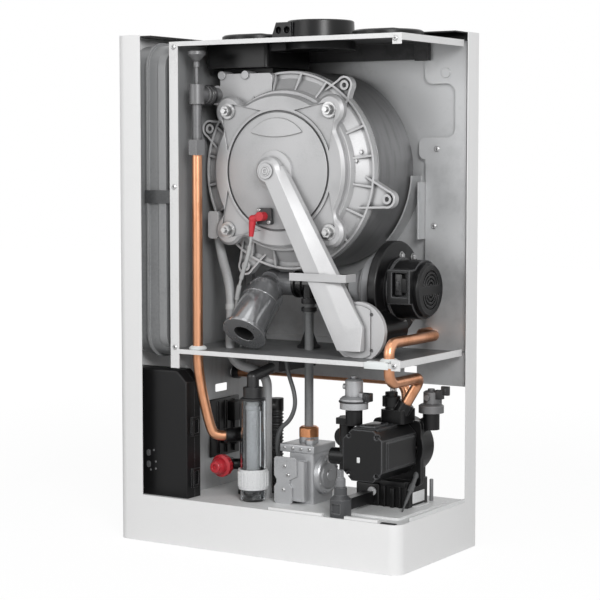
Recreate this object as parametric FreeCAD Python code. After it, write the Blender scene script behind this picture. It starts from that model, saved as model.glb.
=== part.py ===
import FreeCAD, Part
import math
import os

os.makedirs("parts", exist_ok=True)
V = FreeCAD.Vector

# Millimetres. X to the right, Y to the back with the wall at 0, Z up from the lower edge of the casing.

# Casing
CASING_WIDTH = 476.0
CASING_DEPTH = 230.0
CASING_HEIGHT = 740.0
CASING_SHEET = 1.2
CASING_CORNER = 18.0
SKIRT_HEIGHT = 69.0
LEFT_STRIP = 46.0
REAR_STRIP = 33.0
BOTTOM_RETURN = 14.0
FIT_GAP = 0.3

# Base tray
TRAY_LEVEL = 66.0
TRAY_SHEET = 1.5
TRAY_SIDE_RIM = 8.0
TRAY_FRONT_RIM = 3.0
TRAY_PAD_RISE = 3.0
TRAY_PAD_LEFT = 116.0
TRAY_PAD_RIGHT = 212.0
TRAY_PAD_FRONT = -184.0
TRAY_PAD_BACK = -36.0
TAIL_RADIUS = 11.0
TAIL_END = 12.0
TAIL_SHOULDER = 13.0
TAIL_SHOULDER_DROP = 8.0

# Hanger rail
RAIL_SHEET = 2.0
RAIL_DROP = 52.0
RAIL_SHELF = 42.0
RAIL_ARM_WIDTH = 32.0
RAIL_ARM_REACH = 185.0
RAIL_HOLE = 9.0
RAIL_HOLE_SPACING = 300.0
RAIL_HOLE_DROP = 27.0
RAIL_END_INSET = 16.0

# Chassis and combustion chamber
SHEET = 1.2
POST_WIDTH = 13.9
POST_RETURN = 12.0
POST_FOOT = 258.0
CHAMBER_LEFT = -149.4
CHAMBER_RIGHT = 231.0
CHAMBER_FRONT = -215.0
CHAMBER_FLOOR = 286.0
CHAMBER_TOP = 729.2
RAIL_FACE = 9.5
FRONT_RAIL_FACE = 6.6
SIDE_RAIL_RISE = 4.2
SIDE_RAIL_REAR = 33.0
CORNER_TAB = 14.0
CORNER_TAB_DROP = 15.0
BACK_PANEL = -20.8
BACK_PANEL_FOOT = 235.0
RECESS_DEPTH = 9.0
RECESS_MARGIN = 10.0
CABLE_SLOT_FRONT = -105.0
CABLE_SLOT_LENGTH = 32.0
CABLE_SLOT_FOOT = 210.0
CABLE_SLOT_HEIGHT = 12.0
CABLE_SLOT_CORNER = 2.0
VESSEL_HOLE_RADIUS = 8.0
VESSEL_HOLE_Y = -56.0
VESSEL_HOLE_Z = 236.0
PANEL_FLANGE_RISE = 18.0
PANEL_FLANGE_TOP = 207.0
BACK_SLOT_LEFT = 131.0
BACK_SLOT_WIDTH = 21.0
BACK_SLOT_FOOT = 250.0
BACK_SLOT_HEIGHT = 10.0
DIMPLE_X = 197.0
DIMPLE_Z = 684.0
DIMPLE_RADIUS = 7.0
DIMPLE_RISE = 2.0
RECESS_RIGHT = 213.0
RECESS_STEP = 164.0
RECESS_SHOULDER = 670.0
RECESS_WAIST = 165.7
RECESS_WAIST_LEVEL = 591.0
RECESS_TAB_LEFT = 155.0
RECESS_TAB_FOOT = 562.0
RECESS_TAB_CORNER = 10.0
RECESS_FOOT = 293.0
RECESS_CORNER = 14.0
DRUM_SHIELD_GAP = 4.0
DRUM_SHIELD_SHEET = 2.0
DRUM_SHIELD_FRONT = -42.0
SHIELD_STRIP_X = 162.0
SHIELD_STRIP_FOOT = 446.0
SHIELD_STRIP_TOP = 528.0
SHIELD_STRIP_LAP = 8.0
REAR_RAIL_LEFT = -80.0
REAR_RAIL_RIGHT = 172.0
REAR_RAIL_FOOT = 704.0
REAR_RAIL_END = 22.0

# Expansion vessel
VESSEL_SEAM = -196.0
VESSEL_HALF = 36.0
VESSEL_FRONT = -205.0
VESSEL_DEPTH = 177.0
VESSEL_FOOT = 272.0
VESSEL_HEIGHT = 455.0
VESSEL_CORNER = 34.0
VESSEL_EDGE = 16.0
VESSEL_WALL = 2.0
VESSEL_SEAM_LIP = 4.0
VESSEL_LIP_SHEET = 1.6
PAD_START = 20.0
PAD_PROUD = 3.0
PAD_INSET = 10.0
STRAP_LEVEL = 497.0
STRAP_WIDTH = 19.0
STRAP_SHEET = 1.2

# Flue outlet and blanking caps
FLUE_X = 44.0
FLUE_Y = -115.0
FLUE_BORE = 80.0
FLUE_COLLAR = 96.0
FLUE_FLANGE = 108.0
FLUE_FLANGE_THICK = 3.0
FLUE_RISE = 28.0
TEST_PORT_RADIUS = 5.0
FLUE_BOX_LEFT = -132.0
FLUE_BOX_RIGHT = -25.0
FLUE_PASSAGE = 12.0
FLUE_BOX_FRONT = -150.0
FLUE_BOX_BACK = -30.0
FLUE_BOX_FOOT = 693.0
FLUE_BOX_COLLAR = 50.0
FLUE_BOX_CORNER = 6.0
FLUE_THROAT_LEFT = 12.0
FLUE_THROAT_RIGHT = 10.0
FLUE_THROAT_FRONT = 30.0
FLUE_THROAT_FOOT = 60.0
FLUE_SOCKET_FLOOR = 4.0
FLUE_PIPE_STOP = 3.0
CAP_SPACING = 110.0
CAP_RADIUS = 50.0
CAP_RISE = 11.0
CAP_PLATEAU = 3.0

# Heat exchanger
HX_X = 4.3
HX_Z = 544.5
DOOR_FACE = -168.0
DOOR_THICK = 12.0
DOOR_RADIUS = 110.0
DOOR_STUD_OFFSET = 85.7
DOOR_LOBE = 22.0
DOOR_DOME_RADIUS = 83.0
DOOR_DOME_RISE = 6.0
DOOR_GROOVE = 3.2
DOOR_BEVEL = 4.0
DOOR_BAND = 90.0
DOOR_FACET_ANGLE = 27.0
DOOR_FACET_DEPTH = 2.2
EMBLEM_PAD_WIDTH = 87.0
EMBLEM_PAD_FOOT = 48.5
EMBLEM_PAD_TOP = 75.0
EMBLEM_PAD_RISE = 1.8
RIM_RADIUS = 142.0
RIM_FACE = -135.0
RIM_THICK = 8.0
RIM_LIP = 4.0
SEAT_OUTER = 114.0
SEAT_WIDTH = 18.0
RIB_COUNT = 20
RIB_THICK = 3.0
EAR_THICK = 12.0
EAR_TIP = 13.0
EAR_HOLE = 3.5
EAR_BORDER = 3.0
EARS = ((152.0, 52.4), (166.7, -13.5), (150.5, 156.0), (158.0, 242.0))
FLOW_PLATE_RIGHT = -22.0
FLOW_PLATE_LEFT = -112.0
FLOW_PLATE_LOW = 96.0
FLOW_PLATE_HIGH = 140.0
FLOW_PLATE_FACE = -148.0
DRUM_RADIUS = 143.0
DRUM_WALL = 3.0
DRUM_DISH = 14.0
BURNER_RADIUS = 35.0
BURNER_LENGTH = 100.0
BURNER_WALL = 1.5
NUT_FLATS = 13.0
NUT_HEIGHT = 7.0
WASHER_RADIUS = 11.0
WASHER_THICK = 1.5
STUD_RADIUS = 3.5
STUD_PROUD = 4.0

# Mixing duct
DUCT_FACE = -197.0
DUCT_STANDOFF = 9.0
DUCT_HEAD = 20.0
DUCT_SKIRT = 9.0
DUCT_LEFT = 13.0
DUCT_FLAT = 9.5
DUCT_TOP_RIGHT = 17.0
DUCT_LOW_RIGHT = 33.0
DUCT_LOW_X = 126.0
DUCT_LOW_Z = 316.0
DUCT_END_X = 156.0
DUCT_END_Z = 297.0
DUCT_BOSS = 11.0
DUCT_BOSS_RISE = 2.5
OUTLET_X = 143.7
OUTLET_Z = 322.5
OUTLET_FLANGE_RADIUS = 42.0
OUTLET_FLANGE_THICK = 8.0
OUTLET_FACE = -178.0
OUTLET_SCREW_X = 22.0
OUTLET_SCREW_Z = 25.0
OUTLET_SCREW_HOLE = 2.5
BRACKET_LEVEL = 397.0
BRACKET_HEIGHT = 11.0
BRACKET_SHEET = 2.0
BRACKET_LEFT = 44.0
BRACKET_RIGHT = 136.0
BRACKET_RETURN = 26.0

# Fan
FAN_Y = -92.0
FAN_Z = 378.0
FAN_LEFT = 122.0
SCROLL_WIDTH = 38.0
SCROLL_RADIUS = 46.0
SCROLL_WALL = 4.0
SCROLL_PLATE_RADIUS = 68.0
SCROLL_PLATE_WIDTH = 14.0
VENTURI_SHELL = 3.0
OUTLET_TUBE = 32.0
OUTLET_BORE = 26.0
VENTURI_LENGTH = 24.0
VENTURI_RADIUS = 38.0
MOTOR_LENGTH = 43.0
MOTOR_RADIUS = 42.0
MOTOR_WINDOW_WIDTH = 24.0
MOTOR_WINDOW_HEIGHT = 34.0
CAP_LENGTH = 9.0
FAN_CAP_RADIUS = 38.0
LOUVRE_PITCH = 5.5
LOUVRE_COUNT = 4
SHAFT_RADIUS = 4.0
SHAFT_FIT = 0.06
IMPELLER_RADIUS = 38.0
IMPELLER_WIDTH = 18.0
IMPELLER_GAP = 5.0
BLADE_COUNT = 14

# Ignition
IGNITER_X = -13.0
IGNITER_Z = 480.0
IGNITER_SIZE = 24.0
IGNITER_THICK = 2.5
CERAMIC_RADIUS = 3.0
CERAMIC_LENGTH = 9.0
BOOT_RADIUS = 5.4
LEAD_RADIUS = 2.9

# Air intake
SILENCER_X = -37.0
SILENCER_TOP_Y = -123.0
SILENCER_TOP_Z = 381.0
SILENCER_LENGTH = 98.0
SILENCER_RADIUS = 28.5
SILENCER_BEAD = 4.5
SILENCER_BORE = 15.5
SILENCER_BORE_DEPTH = 60.0
INTAKE_RADIUS = 17.0
INTAKE_Y = -110.0
INTAKE_Z = 380.0

# Gas line
GAS_X = 29.0
GAS_Y = -122.0
GAS_PIPE_RADIUS = 6.5
GAS_PIPE_BORE = 5.5
GAS_FITTING_RADIUS = 9.0
GAS_FITTING_LEVEL = 362.0
GAS_FITTING_LENGTH = 22.0
GAS_NUT_FLATS = 28.0
GAS_NUT_HEIGHT = 15.0
VALVE_WIDTH = 54.0
VALVE_DEPTH = 56.0
VALVE_LEFT = 0.0
VALVE_HEIGHT = 84.0
VALVE_EDGE = 5.0
VALVE_BOSS_RADIUS = 14.0
VALVE_BOSS_HEIGHT = 10.0
VALVE_COVER_RADIUS = 25.0
VALVE_COVER_THICK = 10.0
VALVE_COVER_LEVEL = 40.0
COIL_WIDTH = 42.0
COIL_DEPTH = 13.0
COIL_HEIGHT = 58.0
COIL_LEVEL = 5.0
COIL_LEFT = 4.0
KEYHOLE_HEAD = 38.0
KEYHOLE_HEAD_FOOT = 38.0
KEYHOLE_NECK = 22.0
KEYHOLE_BASE = 30.0
KEYHOLE_BASE_TOP = 30.0
KEYHOLE_HEIGHT = 68.0
KEYHOLE_LEFT = -3.0
KEYHOLE_SHEET = 3.0

# Copper pipes
COPPER_RADIUS = 7.5
COPPER_BORE = 6.5
PIPE_CLEARANCE = 0.3
FLOW_X = -114.0
FLOW_Y = -198.0
UNION_LEVEL = 567.0
UNION_HEIGHT = 22.0
UNION_FLATS = 23.0
HEADER_RADIUS = 7.0
TEE_LEVEL = 654.0
TEE_RADIUS = 11.0
TEE_HALF = 14.0
VENT_TUBE_RADIUS = 3.2
VENT_LEVEL = 693.0
VENT_RADIUS = 13.0
VENT_HEIGHT = 24.0
RETURN_X = 204.0
RETURN_Y = -197.0
RETURN_LEVEL = 311.0
RETURN_REAR = -56.0
REAR_PIPE_Y = -13.0
REAR_PIPE_Z = 236.0
GROMMET_RADIUS = 13.0
GROMMET_HALF = 5.0

# Condensate trap
SIPHON_X = -38.0
SIPHON_Y = -168.0
CUP_RADIUS = 18.5
CUP_WALL = 2.0
CUP_HEIGHT = 147.0
COLLAR_LEVEL = 84.0
COLLAR_HEIGHT = 29.0
COLLAR_RADIUS = 22.5
COLLAR_RIBS = 24
TRAP_NUT_RADIUS = 14.5
TRAP_NUT_HEIGHT = 19.0
TRAP_ELBOW_RADIUS = 9.0
TRAP_ELBOW_RISE = 24.0
DRAIN_ARM_LEFT = -22.0
DRAIN_ARM_WIDTH = 18.0
DRAIN_ARM_FRONT = -152.0
DRAIN_ARM_BACK = -50.0
DRAIN_ARM_FOOT = 254.0
HOSE_RADIUS = 7.0
HOSE_BORE = 5.0
RIBBED_X = -42.0
RIBBED_Y = -98.0
RIBBED_RADIUS = 10.0
RIBBED_GROOVE = 8.2
RIBBED_BORE = 6.5
RIBBED_PITCH = 5.0
RIBBED_TOP = 190.0
CABLE_RADIUS = 3.2

# Flow side hydraulics
COLUMN_X = -72.0
SAFETY_X = -100.0
COLUMN_Y = -122.0
COLUMN_RADIUS = 17.0
COLUMN_TOP = 205.0
ARM_RADIUS = 10.0
ELBOW_LEVEL = 158.0
SAFETY_LEVEL = 110.0
SAFETY_STEM_RADIUS = 4.0
SAFETY_SEAT = -150.0
KNOB_LENGTH = 24.0
KNOB_RADIUS = 16.5
KNOB_FLUTES = 12

# Pump side hydraulics
PUMP_X = 161.0
PUMP_Z = 153.0
PUMP_FACE = -195.0
PUMP_MOTOR_LENGTH = 98.0
PUMP_MOTOR_WIDTH = 62.0
PUMP_MOTOR_HEIGHT = 72.0
PUMP_CHAMFER = 14.0
PUMP_PANEL_RISE = 2.5
PUMP_SCREW_RADIUS = 3.0
VOLUTE_RADIUS = 42.0
VOLUTE_LENGTH = 42.0
VOLUTE_BORE = 33.0
PLATE_WIDTH = 78.0
PLATE_HEIGHT = 94.0
PLATE_THICK = 9.0
PUMP_IMPELLER_RADIUS = 31.0
PUMP_IMPELLER_WIDTH = 14.0
PUMP_VANES = 6
PUMP_TAIL_Y = -78.0
FOOT_HEIGHT = 40.0
FOOT_LEFT = 124.0
FOOT_RIGHT = 190.0
FOOT_FRONT = -118.0
MANIFOLD_X = 178.5
MANIFOLD_Y = -114.0
MANIFOLD_Z = 207.0
MANIFOLD_WIDTH = 44.0
MANIFOLD_LOW = 190.0
ACTUATOR_X = 130.0
ACTUATOR_Y = -165.0
ACTUATOR_SEAT = 213.0
ACTUATOR_RADIUS = 20.0
ACTUATOR_HEIGHT = 46.0
SWITCH_X = 207.0
SWITCH_Y = -80.0
SWITCH_SEAT = 203.0
SWITCH_RADIUS = 18.0
SWITCH_HEIGHT = 34.0
STUB_RADIUS = 12.0

# Filling tap
TAP_X = 131.0
TAP_Y = -203.0
TAP_BODY_RADIUS = 15.0
TAP_BODY_HEIGHT = 28.0
TAP_SHOULDER_RADIUS = 9.0
TAP_SHOULDER_HEIGHT = 14.0
TAP_NECK_RADIUS = 7.0
TAP_NECK_HEIGHT = 14.0
TAP_HEX_FLATS = 9.0
TAP_HEX_HEIGHT = 10.0
TAP_PIN_RADIUS = 4.0
TAP_PIN_DEPTH = 10.0
TAP_SLOT_WIDTH = 14.0

# Control box
BOX_LEFT = -233.0
BOX_RIGHT = -125.0
BOX_FRONT = -212.0
BOX_FOOT = 66.0
BOX_TOP = 254.0
BOX_CHAMFER = 17.0
BOX_WALL = 2.0
COVER_DEPTH = 20.0
REAR_SHELL_DEPTH = 14.0
SNAP_LEVELS = (95.0, 171.0)
SNAP_HEIGHT = 28.0
SNAP_WIDTH = 18.0
SNAP_BAR = 4.0
SNAP_PROUD = 3.5
BOARD_THICK = 1.6
BOARD_CHIP_DEPTH = 8.0
# Left edge, foot, width and height of each component on the board.
BOARD_CHIPS = ((-210, 200, 26, 30), (-170, 190, 34, 18), (-205, 100, 40, 14), (-160, 110, 16, 40))
BOARD_GAP = 4.0
BUTTON_X = -193.5
BUTTON_LEVELS = (112.0, 129.0)
BUTTON_WIDTH = 6.0
BUTTON_HEIGHT = 9.0
BUTTON_PROUD = 2.0
BUTTON_FLANGE = 1.5

# Places that follow from the sizes above
half_width = CASING_WIDTH / 2
casing_front = -CASING_DEPTH
inner_left = -half_width + CASING_SHEET
inner_right = half_width - CASING_SHEET
chamber_inside_left = CHAMBER_LEFT + SHEET
chamber_inside_right = CHAMBER_RIGHT - SHEET
chamber_inside_front = CHAMBER_FRONT + SHEET
roof_under = CHAMBER_TOP - SHEET
floor_under = CHAMBER_FLOOR - SHEET
panel_front = BACK_PANEL - SHEET
recess_back = BACK_PANEL + RECESS_DEPTH
recess_front = recess_back - SHEET
door_back = DOOR_FACE + DOOR_THICK
rim_back = RIM_FACE + RIM_THICK
seat_inner = SEAT_OUTER - SEAT_WIDTH
outlet_back = OUTLET_FACE + OUTLET_FLANGE_THICK
scroll_right = FAN_LEFT + SCROLL_WIDTH
plate_left = scroll_right - SCROLL_PLATE_WIDTH
motor_right = scroll_right + MOTOR_LENGTH
valve_front = GAS_Y - VALVE_DEPTH / 2
valve_back = GAS_Y + VALVE_DEPTH / 2
valve_top = TRAY_LEVEL + VALVE_HEIGHT
gas_seat = valve_top + VALVE_BOSS_HEIGHT
pump_motor_back = PUMP_FACE + PUMP_MOTOR_LENGTH
volute_back = pump_motor_back + VOLUTE_LENGTH
cover_back = BOX_FRONT + COVER_DEPTH
box_back = cover_back + REAR_SHELL_DEPTH
tap_seat = TRAY_LEVEL + TAP_BODY_HEIGHT + TAP_SHOULDER_HEIGHT
cup_top = TRAY_LEVEL + CUP_HEIGHT
trap_nut_top = cup_top + TRAP_NUT_HEIGHT


def box(x0, x1, y0, y1, z0, z1):
    return Part.makeBox(x1 - x0, y1 - y0, z1 - z0, V(x0, y0, z0))


def rod(radius, start, end):
    start = V(*start)
    reach = V(*end) - start
    return Part.makeCylinder(radius, reach.Length, start, reach)


def fuse(*shapes):
    return shapes[0].multiFuse(list(shapes[1:])).removeSplitter()


def prism(points, depth):
    corners = [V(x, y, 0) for x, y in points]
    return Part.Face(Part.makePolygon(corners + corners[:1])).extrude(V(0, 0, depth))


def lathe(profile):
    corners = [V(radius, 0, height) for radius, height in profile]
    return Part.Face(Part.makePolygon(corners + corners[:1])).revolve(V(), V(0, 0, 1), 360)


def hexagon(flats, height):
    reach = flats / math.sqrt(3)
    points = [(reach * math.cos(k * math.pi / 3), reach * math.sin(k * math.pi / 3)) for k in range(6)]
    return prism(points, height)


def placed(shape, origin, rotation):
    moved = shape.copy()
    moved.Placement = FreeCAD.Placement(V(*origin), rotation).multiply(shape.Placement)
    return moved


def facing_front(shape, x, y, z):
    """Local X to the right, local Y up, local Z out of the front."""
    return placed(shape, (x, y, z), FreeCAD.Rotation(V(1, 0, 0), 90))


def facing_right(shape, x, y, z):
    """Local X to the back, local Y up, local Z to the right."""
    return placed(shape, (x, y, z), FreeCAD.Rotation(V(1, 1, 1), 120))


def standing(shape, x, y, z):
    return placed(shape, (x, y, z), FreeCAD.Rotation())


def along(shape, origin, direction):
    return placed(shape, origin, FreeCAD.Rotation(V(0, 0, 1), V(*direction)))


def turned(shape, angle):
    return placed(shape, (0, 0, 0), FreeCAD.Rotation(V(0, 0, 1), angle))


def parallel_edges(shape, direction):
    found = []
    for edge in shape.Edges:
        if isinstance(edge.Curve,
                      Part.Line) and abs(edge.tangentAt(edge.FirstParameter).dot(direction)) > 0.999:
            found.append(edge)
    return found


def rounded_box(x0, x1, y0, y1, z0, z1, radius, direction):
    shape = box(x0, x1, y0, y1, z0, z1)
    return shape.makeFillet(radius, parallel_edges(shape, direction))


def route(points, bends):
    """One wire of straight runs joined by tangent arcs."""
    points = [V(*point) for point in points]
    edges = []
    start = points[0]
    for before, corner, after, bend in zip(points, points[1:], points[2:], bends):
        inward = (before - corner).normalize()
        onward = (after - corner).normalize()
        half_angle = inward.getAngle(onward) / 2
        leg = bend / math.tan(half_angle)
        middle = (inward + onward).normalize() * (bend / math.sin(half_angle) - bend)
        edges.append(Part.LineSegment(start, corner + inward * leg).toShape())
        edges.append(Part.Arc(corner + inward * leg, corner + middle, corner + onward * leg).toShape())
        start = corner + onward * leg
    edges.append(Part.LineSegment(start, points[-1]).toShape())
    return Part.Wire(edges)


def swept(wire, radius):
    first = wire.Edges[0]
    start = first.valueAt(first.FirstParameter)
    ahead = first.tangentAt(first.FirstParameter)
    return wire.makePipeShell([Part.Wire([Part.makeCircle(radius, start, ahead)])], True, False)


def pipe(name, points, bends, outer, bore):
    wire = route(points, bends)
    solid = swept(wire, outer)
    if bore:
        solid = solid.cut(swept(wire, bore))
    expected = math.pi * (outer ** 2 - bore ** 2) * wire.Length
    share = solid.Volume / expected
    print(name, "length %.0f" % wire.Length, "volume to section times length %.4f" % share)
    return solid


# Casing and chassis

def casing_outline(gap, z0, z1):
    """Rounded plan of the casing, drawn in by a gap and open past the wall line."""
    shape = box(-half_width + gap, half_width - gap, casing_front + gap, CASING_DEPTH, z0, z1)
    front = [edge for edge in parallel_edges(shape, V(0, 0, 1)) if edge.CenterOfMass.y < 0]
    shape = shape.makeFillet(CASING_CORNER - gap, front)
    return shape.common(box(-half_width, half_width, casing_front, 0, z0, z1))


def outer_casing():
    shell = casing_outline(0, 0, CASING_HEIGHT)
    shell = shell.cut(casing_outline(CASING_SHEET, CASING_SHEET, CASING_HEIGHT))
    opening = casing_outline(CASING_SHEET + BOTTOM_RETURN, 0, CASING_SHEET)
    window = box(-half_width + LEFT_STRIP, half_width, casing_front, -REAR_STRIP, SKIRT_HEIGHT,
                 CASING_HEIGHT)
    return shell.cut(opening).cut(window)


def base_tray():
    gap = CASING_SHEET + FIT_GAP
    side_rim = TRAY_LEVEL + TRAY_SIDE_RIM
    pan = casing_outline(gap, TRAY_LEVEL - TRAY_SHEET, side_rim)
    pan = pan.cut(casing_outline(gap + TRAY_SHEET, TRAY_LEVEL, side_rim))
    low_front = box(-half_width, half_width, casing_front, casing_front + 2 * CASING_CORNER,
                    TRAY_LEVEL + TRAY_FRONT_RIM, side_rim)
    apron = box(inner_left, inner_right, -TRAY_SHEET, 0, CASING_SHEET, TRAY_LEVEL)
    tray = fuse(pan.cut(low_front), apron)
    control_bay = box(inner_left, BOX_RIGHT + FIT_GAP, BOX_FRONT - FIT_GAP, box_back + FIT_GAP,
                      TRAY_LEVEL, side_rim)
    pad = rounded_box(TRAY_PAD_LEFT, TRAY_PAD_RIGHT, TRAY_PAD_FRONT, TRAY_PAD_BACK, TRAY_LEVEL,
                      TRAY_LEVEL + TRAY_PAD_RISE, 6, V(0, 0, 1))
    pad = pad.cut(box(FOOT_LEFT, FOOT_RIGHT, FOOT_FRONT, volute_back, TRAY_LEVEL, TRAY_LEVEL + FOOT_HEIGHT))
    tray = fuse(tray.cut(control_bay), pad)
    for x, y in tail_places():
        tray = tray.cut(rod(TAIL_SHOULDER + PIPE_CLEARANCE, (x, y, 0), (x, y, side_rim)))
    return tray


def tail_places():
    return ((COLUMN_X, COLUMN_Y), (GAS_X, GAS_Y), (PUMP_X, PUMP_TAIL_Y))


def tail(x, y):
    shoulder = TRAY_LEVEL - TAIL_SHOULDER_DROP
    return fuse(rod(TAIL_RADIUS, (x, y, TAIL_END), (x, y, TRAY_LEVEL)),
                rod(TAIL_SHOULDER, (x, y, shoulder), (x, y, TRAY_LEVEL)))


def hanger_rail():
    leaf = box(inner_left, inner_right, -RAIL_SHEET, 0, CASING_HEIGHT - RAIL_DROP, CASING_HEIGHT)
    for side in (-1, 1):
        x = side * RAIL_HOLE_SPACING / 2
        z = CASING_HEIGHT - RAIL_HOLE_DROP
        leaf = leaf.cut(rod(RAIL_HOLE / 2, (x, -RAIL_SHEET, z), (x, 0, z)))
    top = CASING_HEIGHT + RAIL_SHEET
    shelf = box(-half_width, half_width - RAIL_END_INSET, -RAIL_SHELF, 0, CASING_HEIGHT, top)
    arm = box(-half_width, -half_width + RAIL_ARM_WIDTH, -RAIL_ARM_REACH, -RAIL_SHELF, CASING_HEIGHT, top)
    return fuse(leaf, shelf, arm)


def left_panel():
    panel = box(CHAMBER_LEFT, chamber_inside_left, chamber_inside_front, -RAIL_SHEET, TRAY_LEVEL,
                roof_under)
    control_bay = box(CHAMBER_LEFT, chamber_inside_left, chamber_inside_front, box_back, TRAY_LEVEL,
                      POST_FOOT)
    cable_slot = rounded_box(CHAMBER_LEFT, chamber_inside_left, CABLE_SLOT_FRONT,
                             CABLE_SLOT_FRONT + CABLE_SLOT_LENGTH,
                             CABLE_SLOT_FOOT, CABLE_SLOT_FOOT + CABLE_SLOT_HEIGHT, CABLE_SLOT_CORNER,
                             V(1, 0, 0))
    vessel_hole = rod(VESSEL_HOLE_RADIUS, (CHAMBER_LEFT, VESSEL_HOLE_Y, VESSEL_HOLE_Z),
                      (chamber_inside_left, VESSEL_HOLE_Y, VESSEL_HOLE_Z))
    flange = box(CHAMBER_LEFT, BOX_RIGHT - FIT_GAP, box_back, box_back + SHEET,
                 TRAY_LEVEL + PANEL_FLANGE_RISE,
                 PANEL_FLANGE_TOP)
    return fuse(panel.cut(control_bay).cut(cable_slot).cut(vessel_hole), flange)


def recess_outline(gap, y0, y1):
    """Stepped, round-cornered outline of the pressed recess behind the drum, with a tab at its waist."""
    left = chamber_inside_left + RECESS_MARGIN + gap
    top = roof_under - RECESS_MARGIN - gap
    foot = RECESS_FOOT + gap
    shoulder = RECESS_SHOULDER - gap
    waist = RECESS_WAIST - gap
    level = RECESS_WAIST_LEVEL + gap
    right = RECESS_RIGHT - gap
    step = RECESS_STEP - gap
    points = [(left, foot), (waist, foot), (waist, level), (right, level), (right, shoulder),
              (step, shoulder), (step, top), (left, top)]
    solid = prism(points, y1 - y0)
    solid = solid.makeFillet(RECESS_CORNER, parallel_edges(solid, V(0, 0, 1)))
    tab = rounded_box(RECESS_TAB_LEFT - gap, RECESS_RIGHT, RECESS_TAB_FOOT - gap, level, 0, y1 - y0,
                      RECESS_TAB_CORNER, V(0, 0, 1))
    return facing_front(solid.cut(tab), 0, y1, 0)


def drum_shield():
    """Curved heat-shield strip beside the drum, with an upright flange."""
    inner = DRUM_RADIUS + DRUM_SHIELD_GAP
    depth = recess_front - DRUM_SHIELD_FRONT
    ring = Part.makeCylinder(inner + DRUM_SHIELD_SHEET, depth).cut(Part.makeCylinder(inner, depth))
    low = SHIELD_STRIP_FOOT + SHIELD_STRIP_LAP - HX_Z
    sector = prism([(0, 0), (2 * inner, -0.1 * inner), (2 * inner, 2 * low), (0.55 * inner, low)], depth)
    strip = hx_place(ring.common(sector), recess_front)
    flange = box(SHIELD_STRIP_X, SHIELD_STRIP_X + DRUM_SHIELD_SHEET, DRUM_SHIELD_FRONT, recess_front,
                 SHIELD_STRIP_FOOT, SHIELD_STRIP_TOP)
    return fuse(strip, flange)


def back_panel():
    sheet = box(chamber_inside_left, chamber_inside_right, panel_front, BACK_PANEL, BACK_PANEL_FOOT,
                roof_under)
    flange = box(chamber_inside_right - SHEET, chamber_inside_right, BACK_PANEL, -RAIL_SHEET,
                 BACK_PANEL_FOOT, roof_under)
    pressing = recess_outline(0, panel_front, recess_back)
    pressing = pressing.cut(recess_outline(SHEET, panel_front, recess_front))
    slot = box(BACK_SLOT_LEFT, BACK_SLOT_LEFT + BACK_SLOT_WIDTH, panel_front, BACK_PANEL,
               BACK_SLOT_FOOT, BACK_SLOT_FOOT + BACK_SLOT_HEIGHT)
    dimple = rod(DIMPLE_RADIUS, (DIMPLE_X, panel_front - DIMPLE_RISE, DIMPLE_Z),
                 (DIMPLE_X, panel_front, DIMPLE_Z))
    panel = fuse(sheet.cut(recess_outline(0, panel_front, BACK_PANEL)), flange, pressing, dimple,
                 drum_shield())
    return panel.cut(slot)


def chamber_roof():
    """Roof sheet with the flue hole and a stiffening rail down the back panel."""
    sheet = box(CHAMBER_LEFT, chamber_inside_right, chamber_inside_front, -RAIL_SHEET, roof_under,
                CHAMBER_TOP)
    rail = box(REAR_RAIL_LEFT, REAR_RAIL_RIGHT, panel_front - RAIL_SHEET, panel_front, REAR_RAIL_FOOT,
               roof_under)
    end = box(REAR_RAIL_RIGHT - REAR_RAIL_END, REAR_RAIL_RIGHT, panel_front - 4 * RAIL_SHEET, panel_front,
              REAR_RAIL_FOOT - RAIL_SHEET, roof_under)
    hole = rod(FLUE_BORE / 2, (FLUE_X, FLUE_Y, roof_under), (FLUE_X, FLUE_Y, CHAMBER_TOP))
    return fuse(sheet, rail, end).cut(hole)


def flue_duct():
    """Moulded flue box from the top of the drum, with a flat passage to the outlet collar under the roof."""
    collar_foot = roof_under - FLUE_PASSAGE
    collar = rod(FLUE_BOX_COLLAR, (FLUE_X, FLUE_Y, collar_foot), (FLUE_X, FLUE_Y, roof_under))
    passage = box(FLUE_BOX_RIGHT, FLUE_X, FLUE_Y - FLUE_BORE / 3, FLUE_Y + FLUE_BORE / 3, collar_foot,
                  roof_under)
    chest = box(FLUE_BOX_LEFT, FLUE_BOX_RIGHT, FLUE_BOX_FRONT, FLUE_BOX_BACK, FLUE_BOX_FOOT, roof_under)
    chest = chest.makeFillet(FLUE_BOX_CORNER, parallel_edges(chest, V(0, 0, 1)))
    throat = box(FLUE_BOX_LEFT + FLUE_THROAT_LEFT, FLUE_BOX_RIGHT - FLUE_THROAT_RIGHT,
                 FLUE_BOX_FRONT + FLUE_THROAT_FRONT, FLUE_BOX_BACK, HX_Z + FLUE_THROAT_FOOT, FLUE_BOX_FOOT)
    throat = throat.cut(rod(DRUM_RADIUS + FIT_GAP, (HX_X, FLUE_BOX_FRONT, HX_Z), (HX_X, 0, HX_Z)))
    bore = FLUE_BORE / 2 - FLUE_PIPE_STOP
    socket = rod(bore, (FLUE_X, FLUE_Y, collar_foot + FLUE_SOCKET_FLOOR), (FLUE_X, FLUE_Y, roof_under))
    return fuse(chest, passage, collar, throat).cut(socket)


def chamber_floor():
    sheet = box(chamber_inside_left, chamber_inside_right, chamber_inside_front, panel_front,
                floor_under, CHAMBER_FLOOR)
    passages = ((FLOW_X, FLOW_Y, COPPER_RADIUS), (RETURN_X, RETURN_Y, COPPER_RADIUS),
                (GAS_X, GAS_Y, GAS_PIPE_RADIUS), (HOSE_FLOOR[0], HOSE_FLOOR[1], HOSE_RADIUS))
    for x, y, radius in passages:
        reach = radius + PIPE_CLEARANCE
        sheet = sheet.cut(rod(reach, (x, y, floor_under), (x, y, CHAMBER_FLOOR)))
    return sheet


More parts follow.
